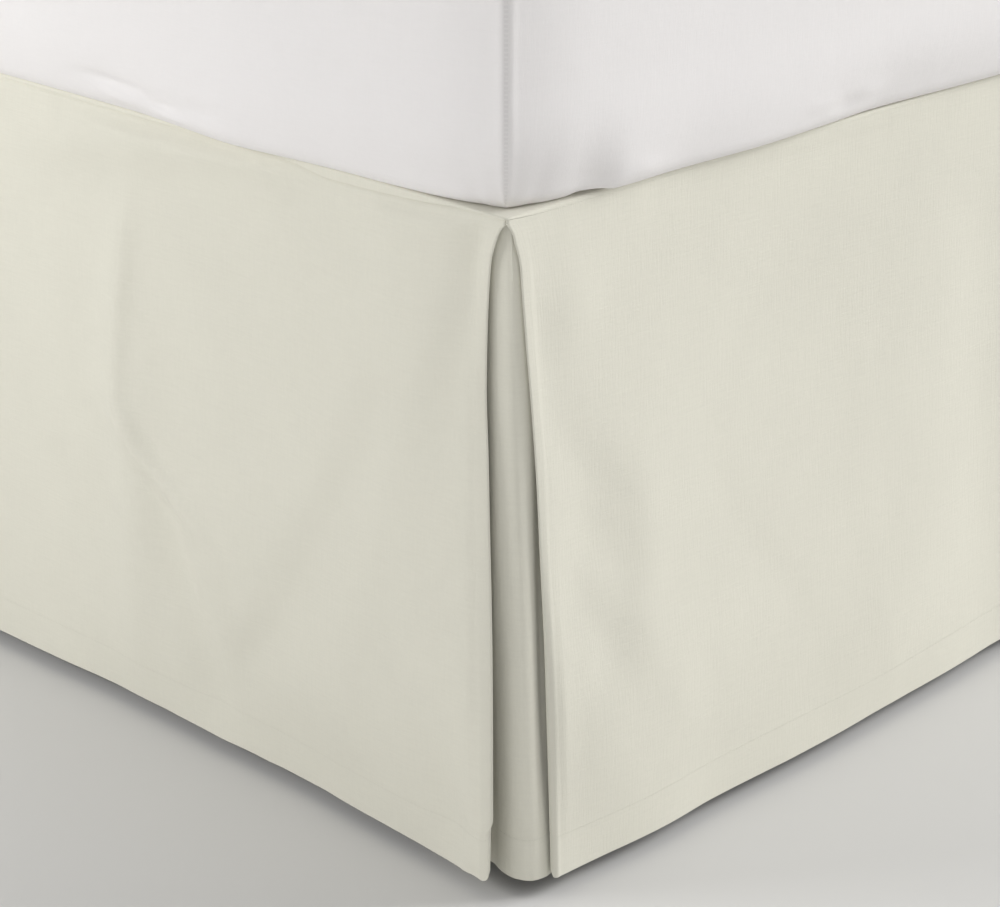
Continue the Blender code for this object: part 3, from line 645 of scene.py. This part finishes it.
def makePanel(name, node, drop):
    columns, rows = steps(drop.length, drop.look["columns"]), steps(dropLength, drop.look["rows"])
    if drop.farEdge is not straightEdge:
        half = steps(drop.length / 2, drop.look["columns"])
        other = steps(drop.length / 2, plainColumns)
        columns = np.concatenate([half, drop.length - other[-2::-1]])
    shape = gridPiece(columns, rows, lambda column, down: hangPanel(drop, column, down))
    hangCloth(name, node, shape, (*drop.outward, 0), drop.length)


makePanel("side_panel_left_cloth", "side_panel_left", leftDrop)
makePanel("foot_panel_cloth", "foot_panel", footDrop)
makePanel("side_panel_right_cloth", "side_panel_right", rightDrop)


# The underlays, bent round the foot corners behind the panels
underlay = {
    "columns": 78,
    "rows": fineRows,
    "top": seamZ - 0.0003,
    "hemRise": 0.0003,
    "slant": 0.7,
    # how far the left one's side edge and two wings bend outwards, from the top to the hem
    "sideEdge": [(0, 0), (0.05, 0.0006), (0.14, 0.0014), (0.3, 0.0015), (0.52, 0.001), (0.66, 0)],
    "sideAt": 0.001,
    "sideWide": 0.006,
    "sideWing": [(0.6, 0), (0.86, -0.0034), (1, -0.0036)],
    "sideWingTo": 1.5,
    "footWing": [(0, 0), (0.22, 0), (0.42, -0.003), (0.66, -0.0038), (0.8, -0.0026), (0.92, 0),
                 (1, 0.0012)],
    "footWide": 0.007,
    "belly": {"out": 0.0012, "at": 0.08, "tall": 0.1, "side": 0.01, "foot": 0.022},
    "crease": {"out": 0.0005, "wide": 0.001, "from": 0.02, "fade": 0.16,
               "line": [(0, -0.001), (0.06, 0), (0.11, 0.004), (0.2, 0.012)]},
    "wave": {"out": 0.0006, "scale": 42, "slow": 0.22, "start": 0.05},
}
# four numbers a place: inwards from the side and from the foot, at the top and then at the hem
leftWings = [
    (0.0013, 0.066, 0.0014, 0.066), (0.0024, 0.04, 0.005, 0.04),
    (0.0038, 0.0215, 0.007, 0.019), (0.0045, 0.0128, 0.005, 0.0112),
    (0.005, 0.0084, 0.0043, 0.0046), (0.0058, 0.0048, 0.0049, -0.0012),
    (0.0078, 0.003, 0.008, -0.008), (0.0118, 0.0021, 0.012, -0.0111),
    (0.018, 0.0017, 0.0177, -0.012), (0.025, 0.0014, 0.0235, -0.0108),
    (0.038, 0.0013, 0.038, -0.0075), (0.05, 0.0013, 0.05, -0.007),
]
rightWings = [
    (0.0013, 0.066, 0.0014, 0.066), (0.0013, 0.04, 0.002, 0.04),
    (0.0014, 0.0215, 0.0042, 0.02), (0.0015, 0.01, 0.0038, 0.0086),
    (0.003, 0.003, 0.006, -0.002), (0.0095, 0.0016, 0.0105, -0.0078),
    (0.019, 0.0014, 0.0188, -0.0095), (0.038, 0.0013, 0.038, -0.009),
    (0.05, 0.0013, 0.05, -0.008),
]


def makeUnderlay(name, node, wings, side):
    cornerX = leftX if side < 0 else rightX
    tops, hems = np.array(wings)[:, :2], np.array(wings)[:, 2:]
    middle = (tops + hems) / 2
    reach = np.concatenate([[0], np.cumsum(np.linalg.norm(np.diff(middle, axis=0), axis=1))])
    columns = np.linspace(0, reach[-1], underlay["columns"])
    rows = steps(dropLength, underlay["rows"])
    belly, crease, wave = underlay["belly"], underlay["crease"], underlay["wave"]

    def hangUnderlay(column, down):
        share = down / dropLength
        inward = [
            readTable(list(zip(reach, tops[:, axis])), column) * (1 - share)
            + readTable(list(zip(reach, hems[:, axis])), column) * share
            for axis in (0, 1)
        ]
        if side < 0:
            # the side wing lies close behind its panel's edge and falls back into shade low down
            edge = bell(column - reach[3] - underlay["sideAt"], underlay["sideWide"])
            forward = readTable(underlay["sideEdge"], share) * edge
            wing = ease(underlay["sideWingTo"] - column / reach[3])
            forward = forward + readTable(underlay["sideWing"], share) * wing
            inward[0] = inward[0] - forward
            # the other falls back half way down and comes forward again at the hem
            edge = bell(column - reach[-3], underlay["footWide"])
            inward[1] = inward[1] - readTable(underlay["footWing"], share) * edge
            # under the apex the cloth bellies out between the panels
            bulge = belly["out"] * bell(share - belly["at"], belly["tall"])
            bulge = bulge * ease((column - reach[2]) / belly["side"])
            bulge = bulge * ease((reach[-2] - column) / belly["foot"])
            inward = [axis - bulge * underlay["slant"] for axis in inward]
        # a pressed crease runs down from the corner and dies away
        bend = reach[len(wings) // 2] + readTable(crease["line"], down)
        press = bell(column - bend, crease["wide"])
        press = press * ease(1 - (down - crease["from"]) / crease["fade"]) * crease["out"]
        lift = press + underlay["hemRise"] * turnedStep(down - dropLength + hemDepth)
        ripple = softNoise(column, down * wave["slow"], wave["scale"], side * 7.0)
        ripple = ripple * wave["out"] * ease(down / wave["start"])
        proud = (lift + ripple) * underlay["slant"]
        place = np.zeros((len(column), 3))
        place[:, 0] = cornerX - side * (inward[0] - proud)
        place[:, 1] = footY + inward[1] - proud
        place[:, 2] = underlay["top"] + (hemZ - underlay["top"]) * share
        return place

    shape = gridPiece(columns, rows, hangUnderlay)
    hangCloth(name, node, shape, (side, -1, 0))


makeUnderlay("corner_underlay_left_cloth", "corner_underlay_left", leftWings, -1)
makeUnderlay("corner_underlay_right_cloth", "corner_underlay_right", rightWings, 1)


# The deck, its rim rolled over the base's edge
deckLook = {
    "single": 0.0008,
    "cornerRadius": 0.0022,
    "cornerGrowth": 0.4,
    "headShort": 0.008,
    "roll": 0.0017,
    "rollMost": 0.8,
    "lip": 0.0005,
    "insets": (0.09, 0.04, 0.016, 0.008, 0.004, 0.0026),
    "rollSteps": 5,
    "downSteps": 3,
    "arcSteps": 8,
}
deckSpacing = [(0, 0.0012), (0.012, 0.003), (0.34, 0.0036), (0.43, 0.012), (2.032, 0.016)]


def deckPerimeter():
    # (side, share of its run or of its arc) from the head's left end round the foot to the right
    sideStops = steps(1.0, [(at / deckLength, gap / deckLength) for at, gap in deckSpacing])
    footStops = steps(0.5, [(at / deckWidth, gap / deckWidth) for at, gap in deckSpacing])
    footStops = np.concatenate([footStops, 1 - footStops[-2::-1]])
    arcStops = [step / deckLook["arcSteps"] for step in range(1, deckLook["arcSteps"])]
    stretches = (("left", sideStops[::-1]), ("leftArc", arcStops), ("foot", footStops),
                 ("rightArc", arcStops), ("right", sideStops))
    return [(side, share) for side, shares in stretches for share in shares]


def rimPoint(spot, inset):
    side, share = spot
    radius = deckLook["cornerRadius"] + deckLook["cornerGrowth"] * inset
    near = inset + radius
    end = headY - deckLook["headShort"]
    if side in ("left", "right"):
        y = footY + near + share * (end - footY - near)
        x = leftX + inset if side == "left" else rightX - inset
    elif side == "foot":
        x = leftX + near + share * (deckWidth - 2 * near)
        y = footY + inset
    else:
        angle = share * math.pi / 2
        if side == "leftArc":
            x, y = leftX + near - radius * math.cos(angle), footY + near - radius * math.sin(angle)
        else:
            x, y = rightX - near + radius * math.sin(angle), footY + near - radius * math.cos(angle)
    return x, y


def rimDip(spot):
    side, share = spot
    drop = {"left": leftDrop, "foot": footDrop, "right": rightDrop}[side.removesuffix("Arc")]
    if side.endswith("Arc"):
        return drop.seamDip[0][1]
    return readOne(drop.seamDip, share * (deckWidth if side == "foot" else deckLength))


def makeDeck():
    spots = deckPerimeter()
    profile = [(inset, 0.0, 0.0) for inset in deckLook["insets"]]
    for step in range(1, deckLook["rollSteps"] + 1):
        angle = step / deckLook["rollSteps"] * math.pi / 2
        profile.append((1 - math.sin(angle), 1 - math.cos(angle), 0.0))
    for step in range(1, deckLook["downSteps"] + 1):
        profile.append((0.0, 1.0, step / deckLook["downSteps"]))
    profile.append((0.0, 1.0, 1.0))
    places = {}
    for index, spot in enumerate(spots):
        deep = deckTop - seamZ + rimDip(spot)
        roll = min(deckLook["roll"], deckLook["rollMost"] * deep)
        for row, (inward, fall, onward) in enumerate(profile):
            flat = row < len(deckLook["insets"])
            inset = inward if flat else inward * roll
            if row == len(profile) - 1:
                inset = deckLook["lip"]
            x, y = rimPoint(spot, inset)
            z = deckTop - (0 if flat else fall * roll + onward * (deep - roll))
            places[index, row] = (x, y, z)
    columns, rows = np.arange(len(spots), dtype=float), np.arange(len(profile), dtype=float)

    def lay(column, row):
        return np.array([places[int(round(c)), int(round(r))] for c, r in zip(column, row)])

    shape = gridPiece(columns, rows, lay)
    uv = shape.loops.layers.uv.active
    inner = [None] * len(spots)
    for face in shape.faces:
        for loop in face.loops:
            if abs(loop[uv].uv[1]) < 0.5:
                inner[int(round(loop[uv].uv[0]))] = loop.vert
            loop[uv].uv = loop.vert.co.xy
    middle = shape.faces.new(inner)
    for loop in middle.loops:
        loop[uv].uv = loop.vert.co.xy
    bmesh.ops.recalc_face_normals(shape, faces=shape.faces)
    facing(shape, (0, 0, 1))
    piece = finishPiece("deck_cloth_sheet", shape, deckCloth)
    thicken(piece, deckLook["single"], [1.0] * len(piece.data.vertices))
    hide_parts("deck")
    print("deck laid,", len(piece.data.polygons), "faces")


makeDeck()


# The mattress in its fitted cover
mattressLook = {
    "corner": 0.005,
    "cornerStops": (0.0, 0.0004, 0.0008, 0.0013, 0.002, 0.003),
    "setback": -0.0034,
    "headSetback": 0.01,
    "plainStops": 90,
    "seamGroove": 0.0003,
    "seamReach": 0.0009,
    "gather": {"out": 0.00018, "reach": 0.016, "pitch": 520, "slow": 90, "apart": 1.3},
    "noise": {"out": 0.0012, "flat": 5, "up": 9, "start": 0.03},
    "ripple": {"out": 0.0007, "scale": 42, "tall": 0.01, "from": 0.0004},
    "colour": (0.8, 0.779, 0.772),
    "sideTop": 0.262,
    # over the side's top the cover is drawn in to a middle that lies nearly flat
    "dome": {"steps": 14, "inset": 0.62, "inwards": 1.6, "upwards": 2.2, "drawn": 0.93,
             "noise": 0.0008, "scale": 4},
    "profile": [(0, 0.0045), (0.003, 0.002), (0.008, 0.0), (0.07, -0.002), (0.135, -0.003),
                (0.2, -0.001), (0.24, 0.004), (0.258, 0.013), (0.264, 0.03), (0.267, 0.08),
                (0.27, 0.32)],
    "rows": [(0, 0.0008), (0.006, 0.0016), (0.026, 0.0022), (0.04, 0.005), (0.2, 0.009),
             (0.236, 0.005), (0.262, 0.0022)],
    "longBows": [(0.0016, 0.0034), (0.01, 0.0054), (0.019, 0.0074), (0.029, 0.0092),
                 (0.039, 0.0104), (0.054, 0.0115), (0.08, 0.0123), (0.121, 0.013),
                 (0.203, 0.014), (0.48, 0.0145), (0.9, 0.015), (1.25, 0.014),
                 (1.6, 0.015), (1.85, 0.013), (1.96, 0.0095), (2.0204, 0.0034)],
    "shortBows": [(0.0016, 0.0034), (0.01, 0.0054), (0.019, 0.0073), (0.029, 0.0089),
                  (0.039, 0.01), (0.054, 0.0109), (0.08, 0.0117), (0.125, 0.0122),
                  (0.298, 0.013), (0.55, 0.013), (0.8, 0.014), (1.08, 0.013),
                  (1.3, 0.013), (1.44, 0.0105), (1.49, 0.008), (1.5224, 0.0034)],
    "headBows": [(0.0016, 0.0034), (0.04, 0.006), (0.762, 0.006), (1.484, 0.006),
                 (1.5224, 0.0034)],
    # the elastic edge alone swings in and out by the three swing tables
    "swingTall": 0.03,
    "under": 0.02,
    "lip": 0.0007,
    "lipTall": 0.006,
    "gap": {"along": 0.061, "wide": 0.011, "high": 0.0016, "tall": 0.01},
    "cornerPull": 0.01,
    "drawn": 0.03,
    "longSwing": [(0.0016, -0.01), (0.01, -0.01), (0.02, -0.011), (0.036, -0.0098),
                  (0.052, -0.0084), (0.087, -0.0066), (0.121, -0.0058), (0.157, -0.0034),
                  (0.203, 0.0003), (0.255, -0.0038), (0.302, -0.007), (0.48, -0.005),
                  (0.9, -0.0035), (1.25, -0.0045), (1.96, -0.006), (2.0204, -0.01)],
    "shortSwing": [(0.0016, -0.01), (0.01, -0.01), (0.02, -0.0108), (0.036, -0.0096),
                   (0.051, -0.009), (0.08, -0.0027), (0.125, -0.004), (0.188, -0.0026),
                   (0.258, -0.0062), (0.298, -0.009), (0.4, -0.0052), (0.8, -0.004),
                   (1.3, -0.0045), (1.47, -0.008), (1.5224, -0.01)],
    "headSwing": [(0.0016, -0.01), (0.06, -0.004), (1.464, -0.004), (1.5224, -0.01)],
}
# puckers near the elastic edge: along the side from the visible corner, up, wide, tall and out
puckers = {"left": [
    (0.318, 0.018, 0.018, 0.0035, -0.0024), (0.3, 0.009, 0.016, 0.004, 0.0027),
    (0.288, 0.017, 0.02, 0.0035, -0.0017), (0.262, 0.012, 0.014, 0.003, -0.002),
    (0.252, 0.006, 0.014, 0.003, 0.0017), (0.225, 0.016, 0.018, 0.005, -0.0014),
], "foot": [
    (0.062, 0.008, 0.01, 0.006, -0.0012), (0.092, 0.01, 0.012, 0.006, 0.001),
    (0.24, 0.016, 0.016, 0.006, 0.0009), (0.262, 0.012, 0.012, 0.006, -0.001),
    (0.285, 0.016, 0.014, 0.006, 0.001),
]}
mattressSpacing = [(0, 0.003), (0.34, 0.004), (0.43, 0.016), (1.9, 0.018), (2.04, 0.008)]


def mattressPlan():
    # stops round the mattress, each with the way outwards, how far it lies along its side and from
    # the corner's seam, the slide where the elastic draws the corner in, and its edge's swing
    look = mattressLook
    head = headY - look["headSetback"]
    radius, first = look["corner"], look["corner"] + look["setback"]
    sides = (
        ("foot", (leftX, footY), (1, 0), deckWidth, "shortBows", "shortSwing"),
        ("right", (rightX, footY), (0, 1), head - footY, "longBows", "longSwing"),
        ("head", (rightX, head), (-1, 0), deckWidth, "headBows", "headSwing"),
        ("left", (leftX, head), (0, -1), head - footY, "longBows", "longSwing"),
    )
    beside = [*look["cornerStops"], radius * math.pi / 4]
    plan = []
    for name, start, run, length, bows, swings in sides:
        start, run = Vector(start), Vector(run)
        out = Vector((run.y, -run.x))
        centre = start + (run - out) * first
        for toSeam in [-step for step in beside[:0:-1]] + beside:
            # the corner seam sits halfway round each turn
            turn = math.pi / 4 + toSeam / radius
            way = out * math.sin(turn) - run * math.cos(turn)
            point = centre + way * radius
            plan.append(Stop(point, way, 0.0, name + "Corner", toSeam, run - out, 0.0))
        straight = length - 2 * first
        if name == "foot":
            stops = steps(straight, mattressSpacing)
        elif name == "left":
            stops = straight - steps(straight, mattressSpacing)[::-1]
        else:
            stops = np.linspace(0, straight, look["plainStops"])
        for stop in stops[1:-1]:
            along = first + float(stop)
            measured = length - along if name == "left" else along
            point = start + run * along + out * readOne(look[bows], measured)
            drawn = max(0, 1 - stop / look["drawn"]) - max(0, 1 - (straight - stop) / look["drawn"])
            swing = readOne(look[swings], measured)
            plan.append(Stop(point, out.copy(), measured, name, 1.0, run * float(drawn), swing))
    return plan


def puckerOut(side, along, up):
    total = 0.0
    for atAlong, atUp, wide, tall, out in puckers.get(side, ()):
        across, rise = (along - atAlong) / wide, (up - atUp) / tall
        total += out * math.exp(-(across**2) - rise**2)
    return total


def coverOut(stop, up, inset, spot, distance):
    # how far the cover stands out of the plain side at one of its points
    look = mattressLook
    out = stop.swing * bell(up, look["swingTall"])
    if "Corner" in stop.side:
        gather, groove = look["gather"], bell(stop.toSeam, look["seamReach"])
        out -= look["seamGroove"] * groove
        wave = up * gather["pitch"] + math.copysign(gather["apart"], stop.toSeam)
        wave = math.sin(wave + 2 * math.sin(up * gather["slow"]))
        out += gather["out"] * bell(stop.toSeam, gather["reach"]) * (1 - groove) * wave
    out += puckerOut(stop.side, stop.along, up)
    if inset < look["corner"]:
        soft = look["noise"]
        here = Vector((spot.x * soft["flat"], spot.y * soft["flat"], up * soft["up"]))
        out += soft["out"] * noise.noise(here) * min(1.0, up / soft["start"])
    # the cover's elastic edge ripples a little where it turns under
    ripple = look["ripple"]
    if up > ripple["from"]:
        here = Vector((distance * ripple["scale"], 3.3, stop.side == "left"))
        out += ripple["out"] * noise.noise(here) * bell(up, ripple["tall"])
    return out


def makeMattress():
    look, dome, gap = mattressLook, mattressLook["dome"], mattressLook["gap"]
    plan = mattressPlan()
    bottom, sideTop, radius = mattressLow.z, look["sideTop"], look["corner"]
    ups = steps(sideTop, look["rows"])
    lifted = [(0.0, look["under"]), *zip(ups.tolist(), readTable(look["profile"], ups).tolist())]
    lastInset = lifted[-1][1]
    for share in np.linspace(0, 1, dome["steps"] + 1)[1:].tolist():
        inset = lastInset + (dome["inset"] - lastInset) * share ** dome["inwards"]
        rise = 1 - (1 - share) ** dome["upwards"]
        lifted.append((sideTop + (mattressHigh.z - bottom - sideTop) * rise, inset))
    columns = np.arange(len(plan) + 1, dtype=float)
    rows = np.arange(len(lifted), dtype=float)
    points = [stop.point for stop in plan]
    gaps = [(after - before).length for before, after in zip(points, points[1:] + points[:1])]
    run = np.concatenate([[0], np.cumsum(gaps)])

    def wrapOne(column, row):
        stop = plan[column % len(plan)]
        up, inset = lifted[row]
        spot = stop.point + stop.slide * look["cornerPull"] * bell(up, look["swingTall"])
        spot = spot - stop.way * min(inset, radius)
        if inset > radius:
            spot = spot * (1 - (inset - radius) / (dome["inset"] - radius) * dome["drawn"])
        out = coverOut(stop, up, inset, spot, run[column % len(plan)])
        height = bottom + up
        if row > 0:
            height += look["lip"] * bell(up, look["lipTall"])
        if stop.side == "foot":
            offCentre = ((stop.along - gap["along"]) / gap["wide"]) ** 4
            height += gap["high"] * math.exp(-offCentre - (up / gap["tall"]) ** 2)
        if up > sideTop:
            here = Vector((spot.x * dome["scale"], spot.y * dome["scale"], 9.0))
            height += dome["noise"] * noise.noise(here)
        return spot.x + stop.way.x * out, spot.y + stop.way.y * out, min(height, mattressHigh.z)

    def wrap(column, row):
        return np.array([wrapOne(int(round(c)), int(round(r))) for c, r in zip(column, row)])

    shape = gridPiece(columns, rows, wrap, closed=True)
    uv = shape.loops.layers.uv.active
    for face in shape.faces:
        for loop in face.loops:
            column, row = int(round(loop[uv].uv[0])), int(round(-loop[uv].uv[1]))
            loop[uv].uv = (run[min(column, len(run) - 1)], lifted[row][0])
    edges = [edge for edge in shape.edges if edge.is_boundary]
    bmesh.ops.holes_fill(shape, edges=edges, sides=0)
    bmesh.ops.recalc_face_normals(shape, faces=shape.faces)
    # how far each point lies from its corner's seam, for the stitching
    mark = shape.verts.layers.float.new(seamStitch["attribute"])
    for face in shape.faces:
        for loop in face.loops:
            stop = plan[int(np.argmin(np.abs(run - loop[uv].uv[0]))) % len(plan)]
            loop.vert[mark] = abs(stop.toSeam) if "Corner" in stop.side else 1.0
    return shape


coverLook = {
    "colour": mattressLook["colour"],
    "pale": 1.015,
    "deep": 0.985,
    "threadPitch": 0.0006,
    "threadRun": 0.003,
    "roughness": 0.82,
    "sheen": 0.1,
    "weaveDepth": 0.00003,
    "slubDepth": 0.00004,
    "rumpleDepth": 0.00035,
}
coverCloth = wovenCloth("mattress_cover", coverLook, coordinates="Object", seam=seamStitch)
mattressCover = finishPiece(
    "mattress_in_cover", makeMattress(), coverCloth, smooth=1.2
)
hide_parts("mattress")
print("mattress covered,", len(mattressCover.data.polygons), "faces")


# The base and its legs
baseLook = {
    "colour": (0.46, 0.44, 0.4),
    "pale": 1.06,
    "deep": 0.92,
    "threadPitch": 0.0014,
    "threadRun": 0.006,
    "roughness": 0.9,
    "sheen": 0.15,
    "weaveDepth": 0.0002,
    "slubDepth": 0.00018,
    "rumpleDepth": 0.0003,
    "corner": 0.04,
    "edge": 0.006,
    "weltRadius": 0.0028,
    "weltUp": 0.012,
    "weltDeep": 0.0018,
}
legLook = {
    "colour": (0.11, 0.062, 0.034),
    "dark": (0.055, 0.03, 0.016),
    "heights": (0.0, 0.0015, 0.006, 0.06, 0.12, 0.146),
    "radii": (0.019, 0.0212, 0.0222, 0.0258, 0.03, 0.0318, 0.0305),  # the last at the leg's top
    "turns": 40,
    "grain": (240, 240, 14),
    "band": (30, 30, 5),
    "grainDepth": 0.00015,
    "roughness": (0.42, 0.12),
    "coat": 0.25,
}


def makeBase():
    look = baseLook
    shape = bmesh.new()
    bmesh.ops.create_cube(shape, size=1.0)
    size, centre = baseHigh - baseLow, (baseHigh + baseLow) / 2
    bmesh.ops.scale(shape, vec=size, verts=shape.verts)
    bmesh.ops.translate(shape, vec=centre, verts=shape.verts)

    def climb(edge):
        return abs(edge.verts[0].co.z - edge.verts[1].co.z)

    def roundOff(edges, offset, segments):
        bmesh.ops.bevel(shape, geom=edges, offset=offset, segments=segments, profile=0.5,
                        affect="EDGES", material=-1)

    roundOff([edge for edge in shape.edges if climb(edge) > size.z / 2], look["corner"], 10)
    level = [edge for edge in shape.edges if climb(edge) < 0.001]
    rims = [edge for edge in level if any(abs(face.normal.z) > 0.9 for face in edge.link_faces)]
    roundOff(rims, look["edge"], 4)
    # a welt is pinched round the box a little above its lower edge
    welt, half = look["weltUp"], look["weltRadius"]
    for up in (welt - half, welt, welt + half):
        bmesh.ops.bisect_plane(shape, geom=shape.verts[:] + shape.edges[:] + shape.faces[:],
                               plane_co=(0, 0, baseLow.z + up), plane_no=(0, 0, 1))
    for vert in shape.verts:
        if abs(vert.co.z - baseLow.z - welt) < 0.0002:
            push = Vector((vert.co.x / abs(baseHigh.x), (vert.co.y - centre.y) / (size.y / 2)))
            side = 0 if abs(push.x) > abs(push.y) else 1
            vert.co[side] -= math.copysign(look["weltDeep"], push[side])
    return shape


baseCloth = wovenCloth("base_cloth", baseLook, coordinates="Object")
baseBox = finishPiece("bed_base_upholstered", makeBase(), baseCloth, smooth=0.6)
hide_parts("bed_base")
print("base upholstered")


def turnedWood():
    look = legLook
    bench = Bench("leg_wood")
    source = bench.node("ShaderNodeTexCoord", out=3)
    grain = bench.noise(source, 1.0, 4.0, look["grain"])
    band = bench.noise(source, 1.0, 2.0, look["band"])
    tone = grain * 0.7 + band * 0.3
    colour = bench.mixColour(tone, shade(look["dark"], 1), shade(look["colour"], 1))
    height = grain * look["grainDepth"]
    bump = bench.node("ShaderNodeBump", None, {"Strength": 0.6, "Distance": 1.0, "Height": height})
    plain, uneven = look["roughness"]
    bench.set(Base_Color=colour, Roughness=plain + band * uneven, Normal=bump)
    bench.set(Coat_Weight=look["coat"], Coat_Roughness=0.3)
    return bench.material


legWood = turnedWood()
legNodes = sorted(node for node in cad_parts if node.startswith("leg_"))
for node in legNodes:
    # the leg's outline, from the middle of its foot to the middle of its top, is spun round
    low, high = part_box(node)
    middle = (low + high) / 2
    heights = [low.z, *legLook["heights"], high.z, high.z]
    shape = bmesh.new()
    chain = [
        shape.verts.new((middle.x + radius, middle.y, up))
        for up, radius in zip(heights, (0, *legLook["radii"], 0))
    ]
    edges = [shape.edges.new(pair) for pair in zip(chain, chain[1:])]
    bmesh.ops.spin(
        shape, geom=chain + edges, cent=(middle.x, middle.y, 0), axis=(0, 0, 1),
        angle=2 * math.pi, steps=legLook["turns"], use_merge=True,
    )
    bmesh.ops.remove_doubles(shape, verts=shape.verts, dist=0.00005)
    bmesh.ops.recalc_face_normals(shape, faces=shape.faces)
    leg = finishPiece(node + "_turned", shape, legWood, smooth=0.7)
    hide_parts(node)
print(len(legNodes), "legs turned")


# Floor and light
room = {
    "floorColour": (0.675, 0.67, 0.658),
    "floorHalf": 9,
    "world": 0.4,
    "aim": (0.3, 0.3, 0.2),
    # name, place from the visible corner, size and power; all aim at one spot by that corner
    "lamps": [
        ("leftNear", (-1.0, 1.0, 0.7), 0.5, 8.9),
        ("frontFill", (-1.9, -1.9, 0.5), 0.8, 14.3),
        ("rightWindow", (5.6, -2.8, 3.2), 2.8, 387),
        ("backFill", (0.8, 5.4, 2.6), 2.0, 60),
    ],
}


def makeRoom():
    shape = bmesh.new()
    bmesh.ops.create_grid(shape, x_segments=1, y_segments=1, size=room["floorHalf"])
    mesh = bpy.data.meshes.new("floor")
    shape.to_mesh(mesh)
    shape.free()
    floor = bpy.data.objects.new("floor", mesh)
    bpy.context.scene.collection.objects.link(floor)
    bench = Bench("floor")
    source = bench.node("ShaderNodeTexCoord", out=3)
    cloud = bench.noise(source, 3.0, 3.0)
    plain = room["floorColour"]
    colour = bench.mixColour(cloud, shade(plain, 0.985), shade(plain, 1.015))
    bench.set(Base_Color=colour, Roughness=0.75, Specular_IOR_Level=0.2)
    mesh.materials.append(bench.material)
    for name, place, size, power in room["lamps"]:
        light = bpy.data.lights.new(name, "AREA")
        light.size, light.energy = size, power
        lamp = bpy.data.objects.new(name, light)
        lamp.location = Vector((leftX, footY, 0)) + Vector(place)
        way = Vector(room["aim"]) - Vector(place)
        lamp.rotation_euler = way.to_track_quat("-Z", "Y").to_euler()
        bpy.context.scene.collection.objects.link(lamp)
    world = bpy.data.worlds.new("studio")
    world.use_nodes = True
    background = world.node_tree.nodes["Background"].inputs
    background["Color"].default_value = (1, 1, 1, 1)
    background["Strength"].default_value = room["world"]
    bpy.context.scene.world = world
    bpy.context.scene.view_settings.view_transform = "Standard"


makeRoom()
print("room lit")
